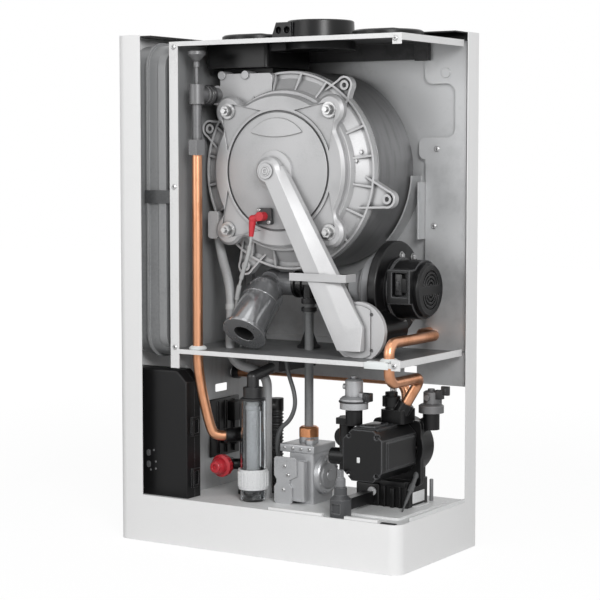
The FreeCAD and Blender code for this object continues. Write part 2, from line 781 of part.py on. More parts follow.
def chamber_frame():
    post = box(CHAMBER_LEFT, CHAMBER_LEFT + POST_WIDTH, CHAMBER_FRONT, chamber_inside_front,
               POST_FOOT, CHAMBER_TOP)
    post_return = box(CHAMBER_LEFT - SHEET, CHAMBER_LEFT, CHAMBER_FRONT, CHAMBER_FRONT + POST_RETURN,
                      POST_FOOT, CHAMBER_TOP)
    rail_floor = CHAMBER_FLOOR - RAIL_FACE
    pieces = [post_return]
    for top in (CHAMBER_TOP, CHAMBER_FLOOR):
        pieces.append(box(CHAMBER_LEFT, CHAMBER_RIGHT, CHAMBER_FRONT, chamber_inside_front,
                          top - FRONT_RAIL_FACE, top))
    for low in (CHAMBER_TOP - RAIL_FACE, rail_floor + SIDE_RAIL_RISE):
        pieces.append(box(chamber_inside_right, CHAMBER_RIGHT, CHAMBER_FRONT, -SIDE_RAIL_REAR,
                          low, low + RAIL_FACE))
    for low in (CHAMBER_TOP - CORNER_TAB_DROP, rail_floor):
        pieces.append(box(CHAMBER_RIGHT - CORNER_TAB, CHAMBER_RIGHT, CHAMBER_FRONT, chamber_inside_front,
                          low, low + CORNER_TAB_DROP))
    return fuse(post, *pieces)


def pipe_grommets():
    rings = []
    for x, y in ((FLOW_X, FLOW_Y), (RETURN_X, RETURN_Y)):
        reach = COPPER_RADIUS + PIPE_CLEARANCE
        rings.append(standing(lathe([(reach, 0), (GROMMET_RADIUS, 0), (GROMMET_RADIUS, GROMMET_HALF / 2),
                                     (reach + 2, GROMMET_HALF), (reach, GROMMET_HALF)]), x, y,
                              CHAMBER_FLOOR))
    return Part.makeCompound(rings)


# Expansion vessel

def vessel_pan(inset, thick, edge):
    """Half of the flat vessel: a rounded rectangle with rolled edges, thickness along local Z."""
    pan = rounded_box(VESSEL_FRONT + inset, VESSEL_FRONT + VESSEL_DEPTH - inset, VESSEL_FOOT + inset,
                      VESSEL_FOOT + VESSEL_HEIGHT - inset, 0, thick, VESSEL_CORNER - inset, V(0, 0, 1))
    outer_loop = [item for item in pan.Edges if abs(item.CenterOfMass.z - thick) < 0.01]
    return pan.makeFillet(edge, outer_loop)


def vessel_shell(side):
    """One half shell: the side is 1 for the right half and -1 for the left half."""
    pan = vessel_pan(0, VESSEL_HALF, VESSEL_EDGE)
    lip = rounded_box(VESSEL_FRONT - VESSEL_SEAM_LIP, VESSEL_FRONT + VESSEL_DEPTH + VESSEL_SEAM_LIP,
                      VESSEL_FOOT - VESSEL_SEAM_LIP, VESSEL_FOOT + VESSEL_HEIGHT + VESSEL_SEAM_LIP,
                      0, VESSEL_LIP_SHEET, VESSEL_CORNER + VESSEL_SEAM_LIP, V(0, 0, 1))
    shell = fuse(pan, lip)
    if side > 0:
        pad = rounded_box(VESSEL_FRONT - PAD_PROUD, VESSEL_FRONT + VESSEL_DEPTH + PAD_PROUD,
                          VESSEL_FOOT + PAD_INSET, VESSEL_FOOT + VESSEL_HEIGHT - PAD_INSET,
                          PAD_START, VESSEL_HALF - PAD_PROUD, VESSEL_CORNER - PAD_INSET, V(0, 0, 1))
        shell = fuse(shell, pad)
    shell = shell.cut(vessel_pan(VESSEL_WALL, VESSEL_HALF - VESSEL_WALL, VESSEL_EDGE - VESSEL_WALL))
    if side < 0:
        shell = shell.mirror(V(), V(0, 0, 1))
    return facing_right(shell, VESSEL_SEAM, 0, 0)


def vessel_strap():
    front = VESSEL_FRONT - VESSEL_SEAM_LIP - STRAP_SHEET
    post_side = CHAMBER_LEFT - SHEET
    band = box(VESSEL_SEAM - 2 * VESSEL_LIP_SHEET, post_side, front, front + STRAP_SHEET,
               STRAP_LEVEL, STRAP_LEVEL + STRAP_WIDTH)
    leaf = box(post_side - STRAP_SHEET, post_side, front, front + POST_RETURN,
               STRAP_LEVEL, STRAP_LEVEL + STRAP_WIDTH)
    return fuse(band, leaf)


# Flue outlet

def flue_adapter():
    bore = FLUE_BORE / 2
    collar = FLUE_COLLAR / 2
    body = lathe([(bore, 0), (FLUE_FLANGE / 2, 0), (FLUE_FLANGE / 2, FLUE_FLANGE_THICK),
                  (collar + 1, FLUE_FLANGE_THICK + 1), (collar, FLUE_RISE - 1.5), (collar - 1.5, FLUE_RISE),
                  (bore, FLUE_RISE)])
    port_foot = FLUE_FLANGE_THICK
    port_top = FLUE_RISE - 3
    block = prism([(-collar - 5, port_foot), (-collar + 28, port_foot), (-collar + 28, port_top),
                   (-collar + 3, port_top)], collar)
    block = facing_front(block, 0, 0, 0).cut(rod(collar - 1, (0, 0, 0), (0, 0, FLUE_RISE)))
    adapter = fuse(body, block)
    port_z = (port_foot + port_top) / 2
    for x in (-collar + 7, -collar + 21):
        adapter = adapter.cut(rod(TEST_PORT_RADIUS, (x, -collar, port_z), (x, -collar + 8, port_z)))
    return standing(adapter, FLUE_X, FLUE_Y, CHAMBER_TOP)


def blanking_caps():
    caps = []
    for side in (-1, 1):
        cap = lathe([(0, 0), (CAP_RADIUS, 0), (CAP_RADIUS, CAP_RISE - 2), (CAP_RADIUS - 3, CAP_RISE),
                     (0, CAP_RISE)])
        grip = rounded_box(-14, 14, -9, 9, CAP_RISE, CAP_RISE + CAP_PLATEAU, 3, V(0, 0, 1))
        caps.append(standing(fuse(cap, grip), FLUE_X + side * CAP_SPACING, FLUE_Y, CHAMBER_TOP))
    return Part.makeCompound(caps)


# Heat exchanger: local X to the right and local Y up from its axis, local Z out of the front

def hx_place(shape, face):
    return facing_front(shape, HX_X, face, HX_Z)


def hx_drum():
    length = recess_front - rim_back
    hollow = DRUM_RADIUS - DRUM_WALL
    drum = lathe([(0, 0), (DRUM_RADIUS - DRUM_DISH, 0), (DRUM_RADIUS, DRUM_DISH), (DRUM_RADIUS, length),
                  (hollow, length), (hollow, DRUM_DISH + DRUM_WALL), (hollow - DRUM_DISH, DRUM_WALL),
                  (0, DRUM_WALL)])
    return hx_place(drum, recess_front)


def ear_outline(radius, angle, border, depth):
    """Tapered ear with a round tip, on the line from the axis at the given angle."""
    tip = EAR_TIP - border
    base = SEAT_OUTER
    spread = 2.1 * EAR_TIP - border
    wedge = prism([(base, -spread), (radius, -tip), (radius, tip), (base, spread)], depth)
    nose = standing(Part.makeCylinder(tip, depth), radius, 0, 0)
    return turned(fuse(wedge, nose), angle)


def hx_front_casting():
    """Cast rim: gutter between door seat and rim, radial ribs, four pocketed ears and the flow plate."""
    seat = RIM_FACE - door_back
    gutter = lathe([(seat_inner, -RIM_THICK), (RIM_RADIUS, -RIM_THICK), (RIM_RADIUS, RIM_LIP),
                    (RIM_RADIUS - 3, RIM_LIP), (RIM_RADIUS - 4, 0), (RIM_RADIUS - 10, 0),
                    (SEAT_OUTER + 3, seat - 9), (SEAT_OUTER, seat), (seat_inner, seat)])
    ribs = []
    for k in range(RIB_COUNT):
        rib = prism([(SEAT_OUTER - 2, 0), (RIM_RADIUS - 1, 0), (RIM_RADIUS - 1, RIM_LIP),
                     (SEAT_OUTER - 2, seat - 4)], RIB_THICK)
        rib = placed(rib, (0, RIB_THICK / 2, 0), FreeCAD.Rotation(V(1, 0, 0), 90))
        ribs.append(turned(rib, 360.0 * (k + 0.5) / RIB_COUNT))
    ears = []
    for radius, angle in EARS:
        ear = ear_outline(radius, angle, 0, EAR_THICK)
        pocket = ear_outline(radius, angle, EAR_BORDER, EAR_THICK)
        pocket = standing(pocket, 0, 0, EAR_THICK / 2)
        boss = turned(standing(Part.makeCylinder(2 * EAR_HOLE, EAR_THICK), radius, 0, 0), angle)
        hole = turned(standing(Part.makeCylinder(EAR_HOLE, EAR_THICK), radius, 0, 0), angle)
        ear = fuse(ear.cut(pocket), boss).cut(hole)
        ears.append(standing(ear, 0, 0, -RIM_THICK))
    plate_face = RIM_FACE - FLOW_PLATE_FACE
    plate = rounded_box(FLOW_PLATE_LEFT, FLOW_PLATE_RIGHT, FLOW_PLATE_LOW, FLOW_PLATE_HIGH,
                        -RIM_THICK, plate_face, 6, V(0, 0, 1))
    bosses = []
    for x in (FLOW_PLATE_LEFT + 4, (FLOW_PLATE_LEFT + FLOW_PLATE_RIGHT) / 2):
        bosses.append(standing(Part.makeCylinder(6, plate_face + RIM_THICK + 3), x, FLOW_PLATE_HIGH - 2,
                               -RIM_THICK))
    port = standing(Part.makeCylinder(TEE_RADIUS + 3, plate_face + RIM_THICK), FLOW_X - HX_X,
                    TEE_LEVEL - HX_Z, -RIM_THICK)
    spigot = rounded_box(HOSE_TOP[0] - HX_X - 9, HOSE_TOP[0] - HX_X + 9, HOSE_TOP[2] - HX_Z,
                         HOSE_TOP[2] - HX_Z + 40,
                         -RIM_THICK, seat - 0.5, 5, V(0, 0, 1))
    casting = fuse(gutter, *ribs, *ears, plate, *bosses, port, spigot)
    casting = casting.cut(standing(Part.makeCylinder(seat_inner, seat + RIM_THICK), 0, 0, -RIM_THICK))
    return hx_place(casting, RIM_FACE)


def burner_tube():
    tube = lathe([(BURNER_RADIUS + 12, 0), (BURNER_RADIUS + 12, -2), (BURNER_RADIUS, -2),
                  (BURNER_RADIUS, -BURNER_LENGTH), (0, -BURNER_LENGTH), (0, BURNER_WALL - BURNER_LENGTH),
                  (BURNER_RADIUS - BURNER_WALL, BURNER_WALL - BURNER_LENGTH),
                  (BURNER_RADIUS - BURNER_WALL, 0)])
    return hx_place(tube, door_back)


def stud_places():
    return [(x * DOOR_STUD_OFFSET, y * DOOR_STUD_OFFSET) for x in (-1, 1) for y in (-1, 1)]


def door_facets():
    """Shallow wedge-shaped facets from each stud seat in to the round band of the door."""
    facets = []
    for x, y in stud_places():
        middle = math.degrees(math.atan2(y, x))
        reach = math.hypot(x, y)
        inner = DOOR_BAND * math.cos(math.radians(DOOR_FACET_ANGLE))
        side = DOOR_BAND * math.sin(math.radians(DOOR_FACET_ANGLE))
        corners = [(inner, -side), (reach + 2, -WASHER_RADIUS - 1), (reach + 2, WASHER_RADIUS + 1),
                   (inner, side)]
        facet = turned(prism(corners, DOOR_FACET_DEPTH), middle)
        seat = standing(Part.makeCylinder(WASHER_RADIUS + 1, DOOR_FACET_DEPTH), x, y, 0)
        facet = facet.cut(Part.makeCylinder(DOOR_BAND, DOOR_FACET_DEPTH)).cut(seat)
        facets.append(standing(facet, 0, 0, DOOR_THICK - DOOR_FACET_DEPTH))
    return Part.makeCompound(facets)


def burner_door():
    """Cast door: bevelled plate with four faceted lobes, a groove round the dome and a bare raised pad."""
    plate = Part.makeCylinder(DOOR_RADIUS, DOOR_THICK)
    lobes = [standing(Part.makeCylinder(DOOR_LOBE, DOOR_THICK), x, y, 0) for x, y in stud_places()]
    plate = fuse(plate, *lobes)
    plate = plate.makeFillet(DOOR_LOBE * 0.6, parallel_edges(plate, V(0, 0, 1)))
    plate = plate.makeChamfer(DOOR_BEVEL,
                              [edge for edge in plate.Edges if edge.BoundBox.ZMin > DOOR_THICK - 0.01])
    plate = plate.cut(door_facets())
    groove = lathe([(DOOR_DOME_RADIUS, DOOR_THICK - DOOR_GROOVE), (DOOR_DOME_RADIUS + DOOR_GROOVE,
                    DOOR_THICK - DOOR_GROOVE), (DOOR_DOME_RADIUS + DOOR_GROOVE, DOOR_THICK),
                    (DOOR_DOME_RADIUS, DOOR_THICK)])
    sphere = (DOOR_DOME_RADIUS ** 2 + DOOR_DOME_RISE ** 2) / (2 * DOOR_DOME_RISE)
    ball = Part.makeSphere(sphere, V(0, 0, DOOR_THICK + DOOR_DOME_RISE - sphere))
    dome = ball.common(standing(Part.makeCylinder(DOOR_DOME_RADIUS, 2 * DOOR_DOME_RISE), 0, 0, DOOR_THICK))
    upper = EMBLEM_PAD_WIDTH * 0.655
    lower = EMBLEM_PAD_WIDTH * 1.69
    pad = standing(Part.makeCylinder(upper, DOOR_THICK), 0, EMBLEM_PAD_TOP - upper, 0)
    pad = pad.common(standing(Part.makeCylinder(lower, DOOR_THICK), 0, EMBLEM_PAD_FOOT + lower, 0))
    lifted = Part.makeSphere(sphere + EMBLEM_PAD_RISE, V(0, 0, DOOR_THICK + DOOR_DOME_RISE - sphere))
    pad = standing(pad, 0, 0, DOOR_THICK).common(lifted)
    return hx_place(fuse(plate.cut(groove), dome, pad), door_back)


def door_nuts():
    nuts = []
    for x, y in stud_places():
        washer = Part.makeCylinder(WASHER_RADIUS, WASHER_THICK)
        nut = standing(hexagon(NUT_FLATS, NUT_HEIGHT), 0, 0, WASHER_THICK)
        stud = Part.makeCylinder(STUD_RADIUS, WASHER_THICK + NUT_HEIGHT + STUD_PROUD)
        nuts.append(hx_place(standing(fuse(washer, nut, stud), x, y, 0), DOOR_FACE))
    return Part.makeCompound(nuts)


# Mixing duct from the fan outlet up to the burner door

def duct_section(share, right):
    """Section across the duct: upright left wall, flat front and a long bevel on the right."""
    low = DUCT_STANDOFF
    high = DOOR_FACE - DUCT_FACE
    bevel = (low + high) / 2
    points = [(-DUCT_LEFT, low), (-DUCT_LEFT, high), (DUCT_FLAT, high), (right, bevel), (right, low)]
    run = V(DUCT_LOW_X - HX_X - DUCT_HEAD / 4, DUCT_LOW_Z - HX_Z, 0)
    across = V(-run.y, run.x, 0).normalize()
    centre = V(DUCT_HEAD / 4, 0, 0) + run * share
    corners = [centre + across * side + V(0, 0, height) for side, height in points]
    return Part.makePolygon(corners + corners[:1])


def mixing_duct():
    """Cast duct: bevelled channel from a round head to the outlet flange, with a cross bracket."""
    high = DOOR_FACE - DUCT_FACE
    flange_foot = DOOR_FACE - outlet_back
    flange_face = DOOR_FACE - OUTLET_FACE
    x, y = OUTLET_X - HX_X, OUTLET_Z - HX_Z
    floor = CHAMBER_FLOOR + FIT_GAP - HX_Z
    channel = Part.makeLoft([duct_section(0, DUCT_TOP_RIGHT), duct_section(1, DUCT_LOW_RIGHT),
                             duct_section(1.2, DUCT_LOW_RIGHT)], True, True)
    channel = channel.common(box(-2 * DUCT_HEAD, DUCT_END_X - HX_X, DUCT_END_Z - HX_Z, DUCT_HEAD, 0, high))
    skirt = DUCT_HEAD + DUCT_SKIRT
    head = lathe([(0, 0), (skirt, 0), (skirt, DUCT_STANDOFF + 1), (DUCT_HEAD, DUCT_STANDOFF + 4),
                  (DUCT_HEAD, high - 5),
                  (DUCT_HEAD - 5, high), (0, high)])
    boss = standing(Part.makeCylinder(DUCT_BOSS, DUCT_BOSS_RISE), 0, 0, high)
    flange = standing(Part.makeCylinder(OUTLET_FLANGE_RADIUS, flange_face - flange_foot), x, y, flange_foot)
    step = standing(Part.makeCylinder(OUTLET_FLANGE_RADIUS - 5, 2), x, y, flange_face)
    step = step.common(box(0, DUCT_END_X - HX_X + 8, y - OUTLET_FLANGE_RADIUS, 0, 0, high))
    flange = fuse(flange, step).common(box(0, 2 * OUTLET_X, floor, 0, flange_foot, high))
    level = BRACKET_LEVEL - HX_Z - BRACKET_HEIGHT / 2
    top = level + BRACKET_HEIGHT
    left = BRACKET_LEFT - HX_X
    right = BRACKET_RIGHT - HX_X
    cross = box(left, right, level, top, high, high + BRACKET_SHEET)
    bend = box(right - BRACKET_SHEET, right, level, top, high - BRACKET_RETURN, high + BRACKET_SHEET)
    duct = fuse(channel, head, boss, flange, cross, bend)
    for side_x in (-1, 1):
        for side_y in (-1, 1):
            hole = Part.makeCylinder(OUTLET_SCREW_HOLE, 4)
            duct = duct.cut(standing(hole, x + side_x * OUTLET_SCREW_X, y + side_y * OUTLET_SCREW_Z,
                                     flange_face - 2))
    dome = burner_door()
    return hx_place(duct, DOOR_FACE).cut(dome)


# Fan: local Z along the shaft to the right

def fan_place(shape, x):
    return facing_right(shape, x, FAN_Y, FAN_Z)


def fan_scroll():
    body = fan_place(Part.makeCylinder(SCROLL_RADIUS, SCROLL_WIDTH), FAN_LEFT)
    outlet = rod(OUTLET_TUBE, (OUTLET_X, outlet_back, OUTLET_Z), (OUTLET_X, FAN_Y, OUTLET_Z))
    cavity = fan_place(Part.makeCylinder(SCROLL_RADIUS - SCROLL_WALL, SCROLL_WIDTH - 2 * SCROLL_WALL),
                       FAN_LEFT + SCROLL_WALL)
    throat = rod(OUTLET_BORE, (OUTLET_X, outlet_back, OUTLET_Z),
                 (OUTLET_X, FAN_Y - OUTLET_BORE / 2, OUTLET_Z))
    throat = throat.common(box(FAN_LEFT + SCROLL_WALL, scroll_right - SCROLL_WALL, outlet_back, FAN_Y, 0,
                               FAN_Z))
    inlet = fan_place(Part.makeCylinder(INTAKE_RADIUS - 2, SCROLL_WALL), FAN_LEFT)
    shaft = fan_place(Part.makeCylinder(SHAFT_RADIUS + SHAFT_FIT, SCROLL_WALL), scroll_right - SCROLL_WALL)
    plate = fan_place(Part.makeCylinder(SCROLL_PLATE_RADIUS, SCROLL_PLATE_WIDTH), plate_left)
    plate = plate.makeFillet(2.5, plate.Edges[:1] + plate.Edges[2:])
    stay = box(plate_left + 2, scroll_right - 2, FAN_Y + SCROLL_PLATE_RADIUS - 6, panel_front, FAN_Z - 14,
               FAN_Z + 14)
    shell = SCROLL_RADIUS + VENTURI_SHELL + 2 * FIT_GAP
    inlet_relief = fan_place(Part.makeCylinder(shell, plate_left), 0)
    motor_relief = fan_place(Part.makeCylinder(MOTOR_RADIUS + 4, MOTOR_LENGTH), scroll_right)
    outlet = outlet.cut(inlet_relief).cut(motor_relief)
    return fuse(body, outlet, plate, stay).cut(cavity).cut(throat).cut(inlet).cut(shaft)


def fan_venturi():
    mouth = Part.Wire([Part.makeCircle(INTAKE_RADIUS, V(FAN_LEFT - VENTURI_LENGTH, INTAKE_Y, INTAKE_Z),
                                       V(1, 0, 0))])
    seat_x = FAN_LEFT - 7
    seat = Part.Wire([Part.makeCircle(VENTURI_RADIUS - 4, V(seat_x, FAN_Y, FAN_Z), V(1, 0, 0))])
    cone = Part.makeLoft([mouth, seat], True, True)
    inner = SCROLL_RADIUS + FIT_GAP
    flange = lathe([(0, 0), (VENTURI_RADIUS, 0), (inner + VENTURI_SHELL, FAN_LEFT - seat_x + 4),
                    (inner + VENTURI_SHELL, plate_left - seat_x), (inner, plate_left - seat_x),
                    (inner, FAN_LEFT - seat_x), (0, FAN_LEFT - seat_x)])
    flange = fan_place(flange, seat_x)
    flange = flange.cut(rod(OUTLET_TUBE + FIT_GAP, (OUTLET_X, outlet_back, OUTLET_Z),
                            (OUTLET_X, FAN_Y, OUTLET_Z)))
    inner_mouth = Part.Wire([Part.makeCircle(INTAKE_RADIUS - 3,
                                             V(FAN_LEFT - VENTURI_LENGTH, INTAKE_Y, INTAKE_Z),
                                             V(1, 0, 0))])
    inner_seat = Part.Wire([Part.makeCircle(INTAKE_RADIUS - 3, V(FAN_LEFT, FAN_Y, FAN_Z), V(1, 0, 0))])
    return fuse(cone, flange).cut(Part.makeLoft([inner_mouth, inner_seat], True, True))


def fan_motor():
    body = Part.makeCylinder(MOTOR_RADIUS, MOTOR_LENGTH)
    collar = Part.makeCylinder(MOTOR_RADIUS + 3, 6)
    frame = box(-MOTOR_RADIUS - 5, -MOTOR_RADIUS + 14, -18, 30, 8, MOTOR_LENGTH)
    window = box(-MOTOR_RADIUS - 5, -MOTOR_RADIUS + 6, -8, MOTOR_WINDOW_HEIGHT - 8,
                 MOTOR_LENGTH - MOTOR_WINDOW_WIDTH - 4, MOTOR_LENGTH - 4)
    bore = Part.makeCylinder(SHAFT_RADIUS + SHAFT_FIT, MOTOR_LENGTH - 8)
    return fan_place(fuse(body, collar, frame).cut(window).cut(bore), scroll_right)


def fan_motor_cap():
    """Round end cap with two fans of curved louvre slots, one above and one below the centre."""
    cap = lathe([(0, 0), (FAN_CAP_RADIUS, 0), (FAN_CAP_RADIUS, CAP_LENGTH - 3),
                 (FAN_CAP_RADIUS - 3, CAP_LENGTH),
                 (0, CAP_LENGTH)])
    for side in (-1, 1):
        for k in range(LOUVRE_COUNT):
            inner = 5 + k * LOUVRE_PITCH
            slot = lathe([(inner, CAP_LENGTH - 3), (inner + LOUVRE_PITCH / 2, CAP_LENGTH - 3),
                          (inner + LOUVRE_PITCH / 2, CAP_LENGTH), (inner, CAP_LENGTH)])
            half = prism([(-40, 2), (40, 2), (26, 40), (-26, 40)], CAP_LENGTH)
            slot = slot.common(half)
            slot = placed(slot, (0, side * 4, 0), FreeCAD.Rotation(V(0, 0, 1), 0 if side > 0 else 180))
            cap = cap.cut(slot)
    return fan_place(cap, motor_right)


def fan_rotor():
    start = SCROLL_WALL + IMPELLER_GAP
    back = Part.makeCylinder(IMPELLER_RADIUS, 2)
    hub = Part.makeCylinder(3 * SHAFT_RADIUS, IMPELLER_WIDTH)
    blades = []
    for k in range(BLADE_COUNT):
        blade = box(2.5 * SHAFT_RADIUS, IMPELLER_RADIUS - 1, -0.8, 0.8, -IMPELLER_WIDTH + 2, 0)
        blades.append(turned(blade, 360.0 * k / BLADE_COUNT))
    impeller = fuse(back, standing(hub, 0, 0, 2 - IMPELLER_WIDTH), *blades)
    impeller = standing(impeller, 0, 0, SCROLL_WIDTH - SCROLL_WALL - IMPELLER_GAP - 2)
    shaft = standing(Part.makeCylinder(SHAFT_RADIUS, SCROLL_WIDTH + MOTOR_LENGTH - 9 - start), 0, 0, start)
    return fan_place(fuse(impeller, shaft), FAN_LEFT)


# Ignition

BOOT_ROUTE = ((IGNITER_X, DOOR_FACE - 14, IGNITER_Z), (IGNITER_X - 15, DOOR_FACE - 15, IGNITER_Z - 4),
              (IGNITER_X - 17, DOOR_FACE - 16, IGNITER_Z - 29))
LEAD_ROUTE = (BOOT_ROUTE[-1], (IGNITER_X - 18.68, DOOR_FACE - 16.84, IGNITER_Z - 50), (-59, -170, 385),
              (-74, -160, 345),
              (-74, -146, 312), (-74, -146, CHAMBER_FLOOR))


def igniter():
    plate = rounded_box(-IGNITER_SIZE / 2, IGNITER_SIZE / 2, -IGNITER_SIZE / 2, IGNITER_SIZE / 2,
                        0, IGNITER_THICK + DOOR_DOME_RISE, 3, V(0, 0, 1))
    plate = facing_front(plate, IGNITER_X, DOOR_FACE, IGNITER_Z)
    ceramic = rod(CERAMIC_RADIUS, (IGNITER_X, DOOR_FACE, IGNITER_Z),
                  (IGNITER_X, DOOR_FACE - DOOR_DOME_RISE - IGNITER_THICK - CERAMIC_LENGTH, IGNITER_Z))
    return fuse(plate, ceramic).cut(burner_door())


def igniter_boot():
    start, knee, end = BOOT_ROUTE
    drop = V(*end) - V(*knee)
    tail_cone = Part.makeCone(BOOT_RADIUS, 0.62 * BOOT_RADIUS, drop.Length, V(*knee), drop)
    boot = fuse(rod(BOOT_RADIUS, start, knee), Part.makeSphere(BOOT_RADIUS + 0.4, V(*knee)), tail_cone)
    tip = DOOR_FACE - DOOR_DOME_RISE - IGNITER_THICK
    cuff = rod(BOOT_RADIUS + 1, (IGNITER_X, DOOR_FACE - 16 - BOOT_RADIUS, IGNITER_Z),
               (IGNITER_X, tip, IGNITER_Z))
    socket = rod(CERAMIC_RADIUS, (IGNITER_X, tip - CERAMIC_LENGTH, IGNITER_Z), (IGNITER_X, tip, IGNITER_Z))
    return fuse(boot, cuff).cut(socket)


def ignition_lead():
    return pipe("ignition_lead", LEAD_ROUTE, (60, 60, 40, 30), LEAD_RADIUS, 0)


# Air intake

def silencer_axis():
    lean = math.sqrt(0.5)
    return (0, -lean, -lean)


def intake_silencer():
    bead = SILENCER_RADIUS + SILENCER_BEAD
    far = SILENCER_LENGTH
    body = lathe([(0, 0), (INTAKE_RADIUS, 0), (SILENCER_RADIUS - 4, 10), (SILENCER_RADIUS, 22),
                  (SILENCER_RADIUS, far - 6), (bead, far - 5), (bead, far), (0, far)])
    bore = standing(Part.makeCylinder(SILENCER_BORE, SILENCER_BORE_DEPTH), 0, 0, far - SILENCER_BORE_DEPTH)
    return along(body.cut(bore), (SILENCER_X, SILENCER_TOP_Y, SILENCER_TOP_Z), silencer_axis())


def intake_tube():
    end = FAN_LEFT - VENTURI_LENGTH
    knee = (SILENCER_X, INTAKE_Y, INTAKE_Z + 5)
    tube = rod(INTAKE_RADIUS, (SILENCER_X, INTAKE_Y, INTAKE_Z), (end, INTAKE_Y, INTAKE_Z))
    collars = [rod(INTAKE_RADIUS + 3, (x, INTAKE_Y, INTAKE_Z), (x + 4, INTAKE_Y, INTAKE_Z)) for x in (2,
                                                                                                      14)]
    neck = rod(INTAKE_RADIUS, (SILENCER_X, SILENCER_TOP_Y, SILENCER_TOP_Z), knee)
    ball = Part.makeSphere(INTAKE_RADIUS + 1, V(SILENCER_X, INTAKE_Y, INTAKE_Z))
    gas_boss = rod(GAS_FITTING_RADIUS, (GAS_X, GAS_Y, GAS_FITTING_LEVEL), (GAS_X, GAS_Y, INTAKE_Z))
    tube = fuse(tube, *collars, neck, ball, gas_boss)
    return tube.cut(intake_silencer())


# Gas line

def gas_pipe():
    straight = rod(GAS_PIPE_RADIUS, (GAS_X, GAS_Y, gas_seat), (GAS_X, GAS_Y, GAS_FITTING_LEVEL))
    foot = GAS_FITTING_LEVEL - GAS_FITTING_LENGTH
    fitting = lathe([(0, 0), (GAS_FITTING_RADIUS, 0), (GAS_FITTING_RADIUS, 4), (GAS_PIPE_RADIUS + 1, 5),
                     (GAS_PIPE_RADIUS + 1, 10), (GAS_FITTING_RADIUS, 11), (GAS_FITTING_RADIUS, 15),
                     (GAS_PIPE_RADIUS + 1, 16), (GAS_PIPE_RADIUS + 1, GAS_FITTING_LENGTH),
                     (0, GAS_FITTING_LENGTH)])
    solid = fuse(straight, standing(fitting, GAS_X, GAS_Y, foot))
    return solid.cut(rod(GAS_PIPE_BORE, (GAS_X, GAS_Y, gas_seat), (GAS_X, GAS_Y, GAS_FITTING_LEVEL)))


def gas_nut():
    nut = hexagon(GAS_NUT_FLATS, GAS_NUT_HEIGHT)
    cone = lathe([(0, 0), (GAS_NUT_FLATS / 2 + 1, 0), (GAS_NUT_FLATS / 2 + 1, GAS_NUT_HEIGHT - 3),
                  (GAS_NUT_FLATS / 2 - 3, GAS_NUT_HEIGHT), (0, GAS_NUT_HEIGHT)])
    nut = nut.common(cone).cut(Part.makeCylinder(GAS_PIPE_RADIUS + PIPE_CLEARANCE, GAS_NUT_HEIGHT))
    return standing(nut, GAS_X, GAS_Y, gas_seat)


def gas_valve_body():
    right = VALVE_LEFT + VALVE_WIDTH
    block = box(VALVE_LEFT, right, valve_front, valve_back, TRAY_LEVEL, valve_top)
    block = block.makeFillet(VALVE_EDGE, parallel_edges(block, V(0, 0, 1)))
    waist = box(VALVE_LEFT, VALVE_LEFT + 14, valve_front, valve_back, TRAY_LEVEL + 60, valve_top)
    boss = rod(VALVE_BOSS_RADIUS, (GAS_X, GAS_Y, valve_top), (GAS_X, GAS_Y, gas_seat))
    level = TRAY_LEVEL + VALVE_COVER_LEVEL
    cover = lathe([(0, 0), (VALVE_COVER_RADIUS, 0), (VALVE_COVER_RADIUS, 4), (VALVE_COVER_RADIUS - 4, 5),
                   (VALVE_COVER_RADIUS - 8, VALVE_COVER_THICK), (0, VALVE_COVER_THICK)])
    cover = facing_right(cover, right, GAS_Y, level)
    regulator = rod(8, (right - 12, valve_front + 12, valve_top),
                    (right - 12, valve_front + 12, valve_top + 8))
    return fuse(block.cut(waist), boss, cover, regulator, tail(GAS_X, GAS_Y))


def gas_valve_coil():
    foot = TRAY_LEVEL + COIL_LEVEL
    coil = box(COIL_LEFT, COIL_LEFT + COIL_WIDTH, valve_front - COIL_DEPTH, valve_front, foot,
               foot + COIL_HEIGHT)
    return coil.makeFillet(5, parallel_edges(coil, V(0, 0, 1)))


def gas_valve_bracket():
    """Keyhole-shaped front plate of the coil: square head, narrow neck and wider base."""
    middle = KEYHOLE_LEFT + KEYHOLE_BASE / 2
    right = KEYHOLE_LEFT + KEYHOLE_HEAD
    corner = KEYHOLE_SHEET
    points = [(KEYHOLE_LEFT + corner, 0), (KEYHOLE_LEFT + KEYHOLE_BASE - corner, 0),
              (KEYHOLE_LEFT + KEYHOLE_BASE, corner),
              (KEYHOLE_LEFT + KEYHOLE_BASE, KEYHOLE_BASE_TOP - 6),
              (middle + KEYHOLE_NECK / 2, KEYHOLE_BASE_TOP),
              (middle + KEYHOLE_NECK / 2, KEYHOLE_HEAD_FOOT - corner), (right, KEYHOLE_HEAD_FOOT + corner),
              (right, KEYHOLE_HEIGHT - corner), (right - corner, KEYHOLE_HEIGHT),
              (KEYHOLE_LEFT + corner, KEYHOLE_HEIGHT),
              (KEYHOLE_LEFT, KEYHOLE_HEIGHT - corner), (KEYHOLE_LEFT, KEYHOLE_HEAD_FOOT + corner),
              (middle - KEYHOLE_NECK / 2, KEYHOLE_HEAD_FOOT - corner),
              (middle - KEYHOLE_NECK / 2, KEYHOLE_BASE_TOP),
              (KEYHOLE_LEFT, KEYHOLE_BASE_TOP - 6), (KEYHOLE_LEFT, corner)]
    return facing_front(prism(points, KEYHOLE_SHEET), 0, valve_front - COIL_DEPTH, TRAY_LEVEL)


# Copper pipes and the flow header

